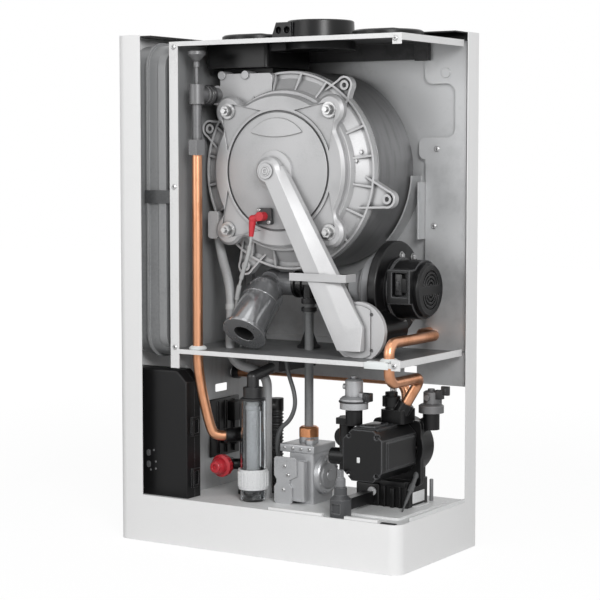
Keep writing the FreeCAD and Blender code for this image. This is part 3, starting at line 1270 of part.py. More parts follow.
def flow_header():
    """Union nut, riser, tee towards the heat exchanger and the air vent above it, all on one axis."""
    nut = standing(hexagon(UNION_FLATS, UNION_HEIGHT), FLOW_X, FLOW_Y, UNION_LEVEL)
    riser = rod(HEADER_RADIUS, (FLOW_X, FLOW_Y, UNION_LEVEL), (FLOW_X, FLOW_Y, TEE_LEVEL))
    tee = rod(TEE_RADIUS, (FLOW_X, FLOW_Y, TEE_LEVEL - TEE_HALF), (FLOW_X, FLOW_Y, TEE_LEVEL + TEE_HALF))
    branch = rod(TEE_RADIUS, (FLOW_X, FLOW_Y, TEE_LEVEL), (FLOW_X, FLOW_PLATE_FACE, TEE_LEVEL))
    clips = [rod(TEE_RADIUS + 2, (FLOW_X, y, TEE_LEVEL), (FLOW_X, y + 3, TEE_LEVEL)) for y in (-182, -174)]
    vent_tube = rod(VENT_TUBE_RADIUS, (FLOW_X, FLOW_Y, TEE_LEVEL), (FLOW_X, FLOW_Y, VENT_LEVEL))
    vent = lathe([(0, 0), (5, 0), (5, 7), (4, 8), (VENT_RADIUS, VENT_HEIGHT - 6),
                  (VENT_RADIUS, VENT_HEIGHT - 2),
                  (VENT_RADIUS - 2, VENT_HEIGHT), (0, VENT_HEIGHT)])
    header = fuse(nut, riser, tee, branch, *clips, vent_tube, standing(vent, FLOW_X, FLOW_Y, VENT_LEVEL))
    return header.cut(rod(COPPER_RADIUS - 2, (FLOW_X, FLOW_Y, UNION_LEVEL), (FLOW_X, FLOW_Y, TEE_LEVEL)))


FLOW_END = (FLOW_X + 28, FLOW_Y + 27, ELBOW_LEVEL)
ELBOW_KNEE = (FLOW_X + 36, FLOW_Y + 37, ELBOW_LEVEL)


def flow_pipe():
    points = ((FLOW_X, FLOW_Y, UNION_LEVEL), (FLOW_X, FLOW_Y, ELBOW_LEVEL + 34),
              (FLOW_X + 16, FLOW_Y + 12, ELBOW_LEVEL), FLOW_END)
    return pipe("flow_pipe", points, (26, 16), COPPER_RADIUS, COPPER_BORE)


RETURN_KNEE = (MANIFOLD_X, MANIFOLD_Y, MANIFOLD_Z)
RETURN_END = (MANIFOLD_X + 6, MANIFOLD_Y + 2.4, MANIFOLD_Z + 11.4)


def return_pipe():
    inlet = RETURN_X - 32
    turn = (RETURN_X, MANIFOLD_Y + 10.2, MANIFOLD_Z + 48.45)
    points = ((inlet, panel_front, RETURN_LEVEL), (inlet, RETURN_REAR, RETURN_LEVEL),
              (RETURN_X, RETURN_REAR, RETURN_LEVEL),
              (RETURN_X, RETURN_Y, RETURN_LEVEL), (RETURN_X, RETURN_Y, turn[2]), turn, RETURN_END)
    return pipe("return_pipe", points, (15, 15, 16, 16, 13), COPPER_RADIUS, COPPER_BORE)


REAR_END_X = 130.0
REAR_END_Z = 150.0


def rear_pipe():
    points = ((chamber_inside_left, REAR_PIPE_Y, REAR_PIPE_Z), (REAR_END_X, REAR_PIPE_Y, REAR_PIPE_Z),
              (REAR_END_X, REAR_PIPE_Y, REAR_END_Z))
    return pipe("rear_pipe", points, (22,), COPPER_RADIUS, COPPER_BORE)


# Condensate trap and hoses

HOSE_TOP = (-116.0, -140.0, 445.0)
HOSE_FLOOR = (-86.0, -158.0)
HOSE_LOW = (-33.0, -138.0)


def condensate_hose():
    points = (HOSE_TOP, (HOSE_TOP[0], HOSE_TOP[1], HOSE_TOP[2] - 27), (*HOSE_FLOOR, HOSE_TOP[2] - 73),
              (*HOSE_FLOOR, CHAMBER_FLOOR - 24), (*HOSE_LOW, CHAMBER_FLOOR - 34), (*HOSE_LOW, TRAY_LEVEL))
    return pipe("condensate_hose", points, (72, 72, 26, 26), HOSE_RADIUS, HOSE_BORE)


def siphon_cup():
    inner = CUP_RADIUS - CUP_WALL
    cup = lathe([(0, 0), (CUP_RADIUS - 3, 0), (CUP_RADIUS, 3), (CUP_RADIUS, CUP_HEIGHT),
                 (inner, CUP_HEIGHT),
                 (inner, CUP_WALL + 2), (0, CUP_WALL + 2)])
    return standing(cup, SIPHON_X, SIPHON_Y, TRAY_LEVEL)


def siphon_collar():
    """Union ring round the cup with upright grip ribs."""
    inner = CUP_RADIUS + PIPE_CLEARANCE
    collar = lathe([(inner, 0), (COLLAR_RADIUS - 1, 0), (COLLAR_RADIUS - 1, COLLAR_HEIGHT),
                    (inner, COLLAR_HEIGHT)])
    ribs = []
    for k in range(COLLAR_RIBS):
        rib = box(COLLAR_RADIUS - 2, COLLAR_RADIUS, -1, 1, 4, COLLAR_HEIGHT - 4)
        ribs.append(turned(rib, 360.0 * k / COLLAR_RIBS))
    return standing(fuse(collar, *ribs), SIPHON_X, SIPHON_Y, COLLAR_LEVEL)


def siphon_cap():
    nut = lathe([(0, 0), (CUP_RADIUS, 0), (CUP_RADIUS, 3), (TRAP_NUT_RADIUS, 5),
                 (TRAP_NUT_RADIUS, TRAP_NUT_HEIGHT),
                 (0, TRAP_NUT_HEIGHT)])
    nut = standing(nut, SIPHON_X, SIPHON_Y, cup_top)
    knee_z = trap_nut_top + TRAP_ELBOW_RISE - TRAP_ELBOW_RADIUS
    riser = rod(TRAP_ELBOW_RADIUS, (SIPHON_X, SIPHON_Y, trap_nut_top), (SIPHON_X, SIPHON_Y, knee_z))
    knee = Part.makeSphere(TRAP_ELBOW_RADIUS, V(SIPHON_X, SIPHON_Y, knee_z))
    arm_end = (DRAIN_ARM_LEFT + DRAIN_ARM_WIDTH / 2, DRAIN_ARM_FRONT + 8, knee_z + 16)
    arm = rod(TRAP_ELBOW_RADIUS - 1, (SIPHON_X, SIPHON_Y, knee_z), arm_end)
    drain = box(DRAIN_ARM_LEFT, DRAIN_ARM_LEFT + DRAIN_ARM_WIDTH, DRAIN_ARM_FRONT, DRAIN_ARM_BACK,
                DRAIN_ARM_FOOT, floor_under)
    return fuse(nut, riser, knee, arm, drain)


def ribbed_hose():
    """Corrugated hose with its bore: each rib is a ruled loft through four circles."""
    circles = []
    z = TRAY_LEVEL
    count = int((RIBBED_TOP - TRAY_LEVEL) / RIBBED_PITCH)
    for k in range(count):
        for share, radius in ((0.0, RIBBED_GROOVE), (0.25, RIBBED_RADIUS), (0.6, RIBBED_RADIUS),
                              (0.85, RIBBED_GROOVE)):
            level = z + (k + share) * RIBBED_PITCH
            circles.append(Part.Wire([Part.makeCircle(radius, V(RIBBED_X, RIBBED_Y, level))]))
    circles.append(Part.Wire([Part.makeCircle(RIBBED_GROOVE, V(RIBBED_X, RIBBED_Y, RIBBED_TOP))]))
    hose = Part.makeLoft(circles, True, True)
    return hose.cut(rod(RIBBED_BORE, (RIBBED_X, RIBBED_Y, TRAY_LEVEL), (RIBBED_X, RIBBED_Y, RIBBED_TOP)))


def sensor_cable():
    points = ((2, -142, floor_under), (2, -142, 262), (22, -144, 216), (14, -146, 186), (-8, -146, 170),
              (-16, -140, 140), (-13, -130, 112), (VALVE_LEFT, -130, 112))
    return pipe("sensor_cable", points, (50, 26, 20, 18, 22, 8), CABLE_RADIUS, 0)


# Flow side hydraulics

def flow_block():
    """Moulded column with the flow elbow, the safety valve branch and the hose arm."""
    column = lathe([(0, 0), (COLUMN_RADIUS + 3, 0), (COLUMN_RADIUS + 3, 8), (COLUMN_RADIUS, 12),
                    (COLUMN_RADIUS, COLUMN_TOP - TRAY_LEVEL - 4),
                    (COLUMN_RADIUS - 4, COLUMN_TOP - TRAY_LEVEL),
                    (0, COLUMN_TOP - TRAY_LEVEL)])
    column = standing(column, COLUMN_X, COLUMN_Y, TRAY_LEVEL)
    elbow = fuse(rod(COPPER_RADIUS + 3, FLOW_END, ELBOW_KNEE),
                 Part.makeSphere(COPPER_RADIUS + 3, V(*ELBOW_KNEE)),
                 rod(COPPER_RADIUS + 3, ELBOW_KNEE, (COLUMN_X, COLUMN_Y, ELBOW_LEVEL)))
    branch = rod(ARM_RADIUS - 2, (SAFETY_X, SAFETY_SEAT + 10, SAFETY_LEVEL),
                 (COLUMN_X, COLUMN_Y, SAFETY_LEVEL))
    safety = rod(ARM_RADIUS, (SAFETY_X, SAFETY_SEAT + 2, SAFETY_LEVEL),
                 (SAFETY_X, SAFETY_SEAT + 16, SAFETY_LEVEL))
    flange = rod(ARM_RADIUS + 3, (SAFETY_X, SAFETY_SEAT, SAFETY_LEVEL),
                 (SAFETY_X, SAFETY_SEAT + 5, SAFETY_LEVEL))
    stem = rod(SAFETY_STEM_RADIUS, (SAFETY_X, SAFETY_SEAT - KNOB_LENGTH + 6, SAFETY_LEVEL),
               (SAFETY_X, SAFETY_SEAT, SAFETY_LEVEL))
    hose_arm = rod(ARM_RADIUS, (COLUMN_X, COLUMN_Y, RIBBED_TOP + ARM_RADIUS - 4),
                   (RIBBED_X, RIBBED_Y, RIBBED_TOP + ARM_RADIUS - 4))
    hose_head = rod(ARM_RADIUS, (RIBBED_X, RIBBED_Y, RIBBED_TOP), (RIBBED_X, RIBBED_Y, RIBBED_TOP + 18))
    hose_arm = hose_arm.cut(box(RIBBED_X - 30, RIBBED_X + 30, RIBBED_Y - 30, RIBBED_Y + 30,
                                RIBBED_TOP - 30, RIBBED_TOP))
    return fuse(column, elbow, branch, safety, flange, stem, hose_arm, hose_head,
                tail(COLUMN_X, COLUMN_Y))


def safety_valve_knob():
    """Fluted hand knob with a blind bore for the valve stem."""
    knob = lathe([(0, 0), (KNOB_RADIUS - 3, 0), (KNOB_RADIUS, 3), (KNOB_RADIUS, 11), (KNOB_RADIUS - 4, 13),
                  (KNOB_RADIUS - 5, KNOB_LENGTH - 5), (KNOB_RADIUS - 8, KNOB_LENGTH), (0, KNOB_LENGTH)])
    for k in range(KNOB_FLUTES):
        flute = standing(Part.makeCylinder(1.8, 11), KNOB_RADIUS + 0.6, 0, 0)
        knob = knob.cut(turned(flute, 360.0 * k / KNOB_FLUTES))
    bore = Part.makeCylinder(SAFETY_STEM_RADIUS + SHAFT_FIT, KNOB_LENGTH - 5)
    return facing_front(knob.cut(bore), SAFETY_X, SAFETY_SEAT - FIT_GAP, SAFETY_LEVEL)


# Pump side hydraulics: local Z along the pump shaft towards the front

def pump_place(shape, y):
    return facing_front(shape, PUMP_X, y, PUMP_Z)


def pump_motor():
    """Eight-sided motor case with four screw pockets and a flat raised panel on each side."""
    half_w = PUMP_MOTOR_WIDTH / 2
    half_h = PUMP_MOTOR_HEIGHT / 2
    case = box(-half_w, half_w, -half_h, half_h, 0, PUMP_MOTOR_LENGTH)
    case = case.makeChamfer(PUMP_CHAMFER, parallel_edges(case, V(0, 0, 1)))
    front = PUMP_MOTOR_LENGTH
    for x in (-1, 1):
        for y in (-1, 1):
            pocket = Part.makeCylinder(PUMP_SCREW_RADIUS, 6)
            case = case.cut(standing(pocket, x * (half_w - 9), y * (half_h - 9), front - 6))
    panel = box(-half_w - PUMP_PANEL_RISE, half_w + PUMP_PANEL_RISE, -half_h + PUMP_CHAMFER + 3,
                half_h - PUMP_CHAMFER - 3, 6, front - 12)
    panel = panel.makeChamfer(0.9 * PUMP_PANEL_RISE, parallel_edges(panel, V(0, 1, 0)))
    bore = Part.makeCylinder(SHAFT_RADIUS + SHAFT_FIT, PUMP_MOTOR_LENGTH - 10)
    return pump_place(fuse(case, panel).cut(bore), pump_motor_back)


def pump_housing():
    """Moulded pump volute behind a mounting plate, with foot, manifold, valve bodies and sensor stubs."""
    volute = lathe([(0, 0), (VOLUTE_RADIUS - 8, 0), (VOLUTE_RADIUS, 8), (VOLUTE_RADIUS, VOLUTE_LENGTH),
                    (0, VOLUTE_LENGTH)])
    volute = pump_place(volute, volute_back)
    plate = rounded_box(-PLATE_WIDTH / 2, PLATE_WIDTH / 2, -PLATE_HEIGHT / 2 - 8, PLATE_HEIGHT / 2 - 8,
                        0, PLATE_THICK, 8, V(0, 0, 1))
    plate = pump_place(plate, pump_motor_back + PLATE_THICK)
    foot = box(FOOT_LEFT, FOOT_RIGHT, FOOT_FRONT, volute_back, TRAY_LEVEL, TRAY_LEVEL + FOOT_HEIGHT)
    foot = foot.makeFillet(5, parallel_edges(foot, V(0, 0, 1)))
    neck = box(PUMP_X - 24, PUMP_X + 24, pump_motor_back, volute_back, TRAY_LEVEL, PUMP_Z)
    manifold = box(MANIFOLD_X - MANIFOLD_WIDTH / 2 - 6, MANIFOLD_X + MANIFOLD_WIDTH / 5, MANIFOLD_Y - 14,
                   pump_motor_back + PLATE_THICK, MANIFOLD_LOW, MANIFOLD_Z + 2)
    manifold = manifold.makeFillet(5, parallel_edges(manifold, V(0, 0, 1)))
    knee = Part.makeSphere(COPPER_RADIUS + 4, V(*RETURN_KNEE))
    spigot = rod(COPPER_RADIUS + 4, RETURN_KNEE, RETURN_END)
    bleed_x = MANIFOLD_X - MANIFOLD_WIDTH / 2 + 5
    bleed = rod(ARM_RADIUS - 1, (bleed_x, MANIFOLD_Y, MANIFOLD_LOW), (bleed_x, MANIFOLD_Y, MANIFOLD_Z + 26))
    bleed_cap = rod(ARM_RADIUS + 3, (bleed_x, MANIFOLD_Y, MANIFOLD_Z + 6),
                    (bleed_x, MANIFOLD_Y, MANIFOLD_Z + 20))
    switch_arm = rod(ARM_RADIUS, (PUMP_X + 20, SWITCH_Y, PUMP_Z + 24),
                     (SWITCH_X, SWITCH_Y, SWITCH_SEAT - STUB_RADIUS))
    switch_stub = rod(STUB_RADIUS, (SWITCH_X, SWITCH_Y, SWITCH_SEAT - 2 * STUB_RADIUS),
                      (SWITCH_X, SWITCH_Y, SWITCH_SEAT))
    valve_x = PUMP_X - 51
    valve_y = ACTUATOR_Y + 15
    valve_post = rod(STUB_RADIUS - 1, (valve_x, valve_y, PUMP_Z - 30),
                     (valve_x, valve_y, ACTUATOR_SEAT - 14))
    valve_end = rod(STUB_RADIUS, (valve_x - 24, valve_y, PUMP_Z - 12), (valve_x, valve_y, PUMP_Z - 12))
    valve_cap = rod(STUB_RADIUS + 2, (valve_x - 12, valve_y + 8, PUMP_Z + 14),
                    (valve_x - 12, valve_y + 30, PUMP_Z + 14))
    valve_arm = box(valve_x - 9, valve_x + 9, valve_y, pump_motor_back + PLATE_THICK, PUMP_Z - 20,
                    PUMP_Z + 10)
    plate_arm = box(valve_x - 9, PUMP_X, pump_motor_back, pump_motor_back + PLATE_THICK, PUMP_Z - 20,
                    PUMP_Z + 10)
    actuator_stub = rod(STUB_RADIUS, (ACTUATOR_X, ACTUATOR_Y, PUMP_Z + PUMP_MOTOR_HEIGHT / 2 + 1),
                        (ACTUATOR_X, ACTUATOR_Y, ACTUATOR_SEAT))
    bridge = box(valve_x - 6, ACTUATOR_X, ACTUATOR_Y - 6, valve_y + 6, PUMP_Z + PUMP_MOTOR_HEIGHT / 2 + 1,
                 ACTUATOR_SEAT - 14)
    rear_socket = rod(STUB_RADIUS, (REAR_END_X, REAR_PIPE_Y, REAR_END_Z - 22),
                      (REAR_END_X, REAR_PIPE_Y, REAR_END_Z))
    rear_arm = rod(ARM_RADIUS, (REAR_END_X, REAR_PIPE_Y, REAR_END_Z - 11),
                   (PUMP_X, PUMP_TAIL_Y, REAR_END_Z - 11))
    housing = fuse(volute, plate, foot, neck, manifold, knee, spigot, bleed, bleed_cap, switch_arm,
                   switch_stub, valve_post, valve_end,
                   valve_cap, valve_arm, plate_arm, actuator_stub, bridge, rear_socket, rear_arm,
                   tail(PUMP_X, PUMP_TAIL_Y))
    depth = PUMP_IMPELLER_WIDTH + 6
    return housing.cut(pump_place(Part.makeCylinder(VOLUTE_BORE, depth), pump_motor_back + depth))


def pump_rotor():
    disc = Part.makeCylinder(PUMP_IMPELLER_RADIUS, 2)
    vanes = []
    for k in range(PUMP_VANES):
        vane = box(2 * SHAFT_RADIUS, PUMP_IMPELLER_RADIUS - 1, -1, 1, 2, PUMP_IMPELLER_WIDTH)
        vanes.append(turned(vane, 360.0 * k / PUMP_VANES))
    hub = Part.makeCylinder(2.5 * SHAFT_RADIUS, PUMP_IMPELLER_WIDTH)
    shaft = Part.makeCylinder(SHAFT_RADIUS, PUMP_IMPELLER_WIDTH + PUMP_MOTOR_LENGTH - 9)
    return pump_place(fuse(disc, hub, shaft, *vanes), pump_motor_back + PUMP_IMPELLER_WIDTH + 3)


def actuator(radius, height, plug_side):
    """Slim motor can with a top nub on a wide clamp ring, with a plug block on one side."""
    can = 0.63 * radius
    body = lathe([(0, 0), (radius, 0), (radius, 0.3 * height), (radius - 3, 0.36 * height),
                  (can, 0.4 * height),
                  (can, 0.86 * height), (can - 3, 0.92 * height), (5, 0.92 * height), (5, height),
                  (0, height)])
    plug = box(can - 3, radius + 3, -6, 6, 0.22 * height, 0.5 * height)
    port = rod(4, (0, 0, 0.66 * height), (-can - 4, 0, 0.66 * height))
    return fuse(body, turned(fuse(plug, port), plug_side))


def diverter_actuator():
    return standing(actuator(ACTUATOR_RADIUS, ACTUATOR_HEIGHT, 0), ACTUATOR_X, ACTUATOR_Y, ACTUATOR_SEAT)


def flow_switch():
    return standing(actuator(SWITCH_RADIUS, SWITCH_HEIGHT, 90), SWITCH_X, SWITCH_Y, SWITCH_SEAT)


# Filling tap

def tap_body():
    total = tap_seat - TRAY_LEVEL
    body = lathe([(0, 0), (TAP_BODY_RADIUS, 0), (TAP_BODY_RADIUS, TAP_BODY_HEIGHT - 3),
                  (TAP_SHOULDER_RADIUS + 3, TAP_BODY_HEIGHT), (TAP_SHOULDER_RADIUS, TAP_BODY_HEIGHT + 3),
                  (TAP_SHOULDER_RADIUS, total), (0, total)])
    slot = box(-TAP_SLOT_WIDTH / 2, TAP_SLOT_WIDTH / 2, -TAP_BODY_RADIUS, 4 - TAP_BODY_RADIUS, 6, 20)
    bore = standing(Part.makeCylinder(TAP_PIN_RADIUS + SHAFT_FIT, TAP_PIN_DEPTH + 1), 0, 0,
                    total - TAP_PIN_DEPTH - 1)
    arm = box(-7, 7, 0, FOOT_FRONT - TAP_Y, 8, 24)
    return standing(fuse(body, arm).cut(slot).cut(bore), TAP_X, TAP_Y, TRAY_LEVEL)


def tap_spindle():
    neck = lathe([(0, -TAP_PIN_DEPTH), (TAP_PIN_RADIUS, -TAP_PIN_DEPTH), (TAP_PIN_RADIUS, FIT_GAP),
                  (TAP_NECK_RADIUS, FIT_GAP), (TAP_NECK_RADIUS, TAP_NECK_HEIGHT - 3),
                  (TAP_NECK_RADIUS - 2, TAP_NECK_HEIGHT), (0, TAP_NECK_HEIGHT)])
    head = standing(hexagon(TAP_HEX_FLATS, TAP_HEX_HEIGHT), 0, 0, TAP_NECK_HEIGHT)
    return standing(fuse(neck, head), TAP_X, TAP_Y, tap_seat)


# Control box

def box_outline(inset, y0, y1):
    left = BOX_LEFT + inset
    right = BOX_RIGHT - inset
    foot = BOX_FOOT + inset
    top = BOX_TOP - inset
    cut = BOX_CHAMFER
    points = [(left, foot), (right, foot), (right, top - cut), (right - cut, top), (left, top)]
    return facing_front(prism(points, y1 - y0), 0, y1, 0)


def control_cover():
    """Front half of the control box with two C-shaped snap loops and the button windows."""
    cover = box_outline(0, BOX_FRONT, cover_back)
    cover = cover.makeFillet(3,
                             [edge for edge in cover.Edges if abs(edge.CenterOfMass.y - BOX_FRONT) < 0.01])
    cover = cover.cut(box_outline(BOX_WALL, BOX_FRONT + BOX_WALL, cover_back))
    for level in SNAP_LEVELS:
        loop = box(BOX_RIGHT, BOX_RIGHT + SNAP_PROUD, cover_back - SNAP_WIDTH / 2,
                   cover_back + SNAP_WIDTH / 2,
                   level - SNAP_HEIGHT / 2, level + SNAP_HEIGHT / 2)
        gap = box(BOX_RIGHT, BOX_RIGHT + SNAP_PROUD, cover_back - SNAP_WIDTH / 2 + SNAP_BAR,
                  cover_back + SNAP_WIDTH / 2 - SNAP_BAR,
                  level - SNAP_HEIGHT / 2 + SNAP_BAR, level + SNAP_HEIGHT / 2 - SNAP_BAR)
        cover = fuse(cover, loop.cut(gap))
    for level in BUTTON_LEVELS:
        cover = cover.cut(button_prism(level, FIT_GAP, BOX_FRONT, BOX_FRONT + BOX_WALL))
    return cover


def control_box():
    shell = box_outline(0, cover_back, box_back)
    shell = shell.cut(box_outline(BOX_WALL, cover_back, box_back - BOX_WALL))
    pegs = []
    board_back = cover_back + BOARD_THICK + BOARD_GAP
    for x in (BOX_LEFT + 16, BOX_RIGHT - 26):
        for z in (BOX_FOOT + 20, BOX_TOP - 30):
            pegs.append(rod(4, (x, board_back, z), (x, box_back - BOX_WALL, z)))
    return fuse(shell, *pegs)


def control_board():
    plate = box_outline(BOX_WALL + 3, cover_back + BOARD_GAP, cover_back + BOARD_GAP + BOARD_THICK)
    chips = []
    for left, foot, wide, tall in BOARD_CHIPS:
        chips.append(box(left, left + wide, cover_back + BOARD_GAP - BOARD_CHIP_DEPTH,
                         cover_back + BOARD_GAP,
                         foot, foot + tall))
    return fuse(plate, *chips)


def button_prism(level, gap, y0, y1):
    """Oblong button section standing upright."""
    half_w = BUTTON_WIDTH / 2 + gap
    half_h = BUTTON_HEIGHT / 2 + gap
    return rounded_box(BUTTON_X - half_w, BUTTON_X + half_w, y0, y1, level - half_h, level + half_h,
                       half_w * 0.9, V(0, 1, 0))


def button(level):
    inside = BOX_FRONT + BOX_WALL
    key = button_prism(level, 0, BOX_FRONT - BUTTON_PROUD, inside + BUTTON_FLANGE)
    flange = button_prism(level, 1.5, inside, inside + BUTTON_FLANGE)
    return fuse(key, flange)


NODES = {
    "outer_casing": outer_casing, "base_tray": base_tray, "hanger_rail": hanger_rail,
    "left_panel": left_panel, "back_panel": back_panel, "chamber_roof": chamber_roof,
    "chamber_floor": chamber_floor, "chamber_frame": chamber_frame, "pipe_grommets": pipe_grommets,
    "vessel_left_shell": lambda: vessel_shell(-1), "vessel_right_shell": lambda: vessel_shell(1),
    "vessel_strap": vessel_strap, "flue_adapter": flue_adapter, "blanking_caps": blanking_caps,
    "flue_duct": flue_duct,
    "hx_drum": hx_drum, "hx_front_casting": hx_front_casting, "burner_tube": burner_tube,
    "burner_door": burner_door, "door_nuts": door_nuts, "mixing_duct": mixing_duct,
    "fan_scroll": fan_scroll, "fan_venturi": fan_venturi, "fan_motor": fan_motor,
    "fan_motor_cap": fan_motor_cap, "fan_rotor": fan_rotor, "igniter": igniter,
    "igniter_boot": igniter_boot, "ignition_lead": ignition_lead, "intake_silencer": intake_silencer,
    "intake_tube": intake_tube, "gas_pipe": gas_pipe, "gas_nut": gas_nut,
    "gas_valve_body": gas_valve_body, "gas_valve_coil": gas_valve_coil,
         "gas_valve_bracket": gas_valve_bracket,
    "flow_header": flow_header, "flow_pipe": flow_pipe, "return_pipe": return_pipe, "rear_pipe": rear_pipe,
    "condensate_hose": condensate_hose, "siphon_cup": siphon_cup, "siphon_collar": siphon_collar,
    "siphon_cap": siphon_cap, "ribbed_hose": ribbed_hose, "sensor_cable": sensor_cable,
    "flow_block": flow_block, "safety_valve_knob": safety_valve_knob, "pump_motor": pump_motor,
    "pump_housing": pump_housing, "pump_rotor": pump_rotor, "diverter_actuator": diverter_actuator,
    "flow_switch": flow_switch, "tap_body": tap_body, "tap_spindle": tap_spindle,
    "control_box": control_box, "control_cover": control_cover, "control_board": control_board,
    "button_down": lambda: button(BUTTON_LEVELS[0]), "button_up": lambda: button(BUTTON_LEVELS[1]),
}

for name, make in NODES.items():
    make().exportStep("parts/" + name + ".step")
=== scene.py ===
import math

import bmesh
import bpy
from mathutils import Matrix, Vector
from mathutils.bvhtree import BVHTree


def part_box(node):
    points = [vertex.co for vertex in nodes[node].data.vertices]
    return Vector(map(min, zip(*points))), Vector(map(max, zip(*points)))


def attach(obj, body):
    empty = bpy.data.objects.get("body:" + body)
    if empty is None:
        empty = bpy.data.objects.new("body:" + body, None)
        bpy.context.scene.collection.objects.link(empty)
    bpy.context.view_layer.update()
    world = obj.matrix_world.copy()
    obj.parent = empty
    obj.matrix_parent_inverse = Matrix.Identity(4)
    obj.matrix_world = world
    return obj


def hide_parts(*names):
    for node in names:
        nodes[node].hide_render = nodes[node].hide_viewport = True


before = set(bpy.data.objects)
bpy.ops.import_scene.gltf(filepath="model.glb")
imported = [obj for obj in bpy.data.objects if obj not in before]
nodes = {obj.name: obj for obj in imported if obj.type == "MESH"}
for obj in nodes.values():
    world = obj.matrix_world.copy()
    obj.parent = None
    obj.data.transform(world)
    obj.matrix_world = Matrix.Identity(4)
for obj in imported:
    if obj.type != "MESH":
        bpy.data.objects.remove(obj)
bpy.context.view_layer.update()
MM = 0.001

FRONT = Vector((0, -1, 0))
RIGHT = Vector((1, 0, 0))
UP = Vector((0, 0, 1))


# Colours and nodes

# Tone of a finish: where the sum of its two noises is darkest and lightest.
TONE_DARK, TONE_LIGHT = 0.75, 1.0
BUMP_STRENGTH = 0.5
# Painted highlight with some wear on an edge: the turn of its rounded normal where it starts and is full, and
# the share of the paler edge colour mixed in.
HIGHLIGHT_WEAR_START, HIGHLIGHT_WEAR_FULL, HIGHLIGHT_WEAR_SHARE = 0.985, 0.8, 0.8
# Painted shade in a corner: its reach, the openness where it starts and is full, and the share of paint it
# covers.
SHADE_REACH_MM = 7
SHADE_START, SHADE_FULL, SHADE_SHARE = 0.9, 0.4, 0.85
# Colour of the shade painted into the corners of metal parts.
METAL_CORNER_SHADE = "#4A4A4B"
NYLON_SHINE = {"Specular IOR Level": 0.35}
# Joint lines of the two-tone mouldings: right of the first the intake is black, behind the second the tap is.
ELBOW_JOINT_MM = 0.0
TAP_JOINT_MM = -189.0


def hex_colour(code):
    """sRGB hex to linear RGBA."""
    parts = [int(code[i:i + 2], 16) / 255 for i in (1, 3, 5)]
    return [c / 12.92 if c <= 0.04045 else ((c + 0.055) / 1.055) ** 2.4 for c in parts] + [1.0]


def add_node(tree, kind, settings=None, links=None):
    """Adds one node, sets its properties and sockets, and links other nodes' outputs into it."""
    node = tree.nodes.new(kind)
    for key, value in (settings or {}).items():
        if isinstance(key, int) or key in node.inputs:
            node.inputs[key].default_value = value
        else:
            setattr(node, key, value)
    for key, output in (links or {}).items():
        tree.links.new(output, node.inputs[key])
    return node


def new_material(name, colour, roughness, metallic=0.0, **sockets):
    """A material with one Principled shader, and its tree and shader for the pattern nodes."""
    material = bpy.data.materials.new(name)
    material.use_nodes = True
    tree = material.node_tree
    tree.nodes.clear()
    settings = {"Base Color": hex_colour(colour), "Roughness": roughness, "Metallic": metallic}
    settings.update(sockets)
    shader = add_node(tree, "ShaderNodeBsdfPrincipled", settings)
    add_node(tree, "ShaderNodeOutputMaterial", None, {"Surface": shader.outputs["BSDF"]})
    return material, tree, shader


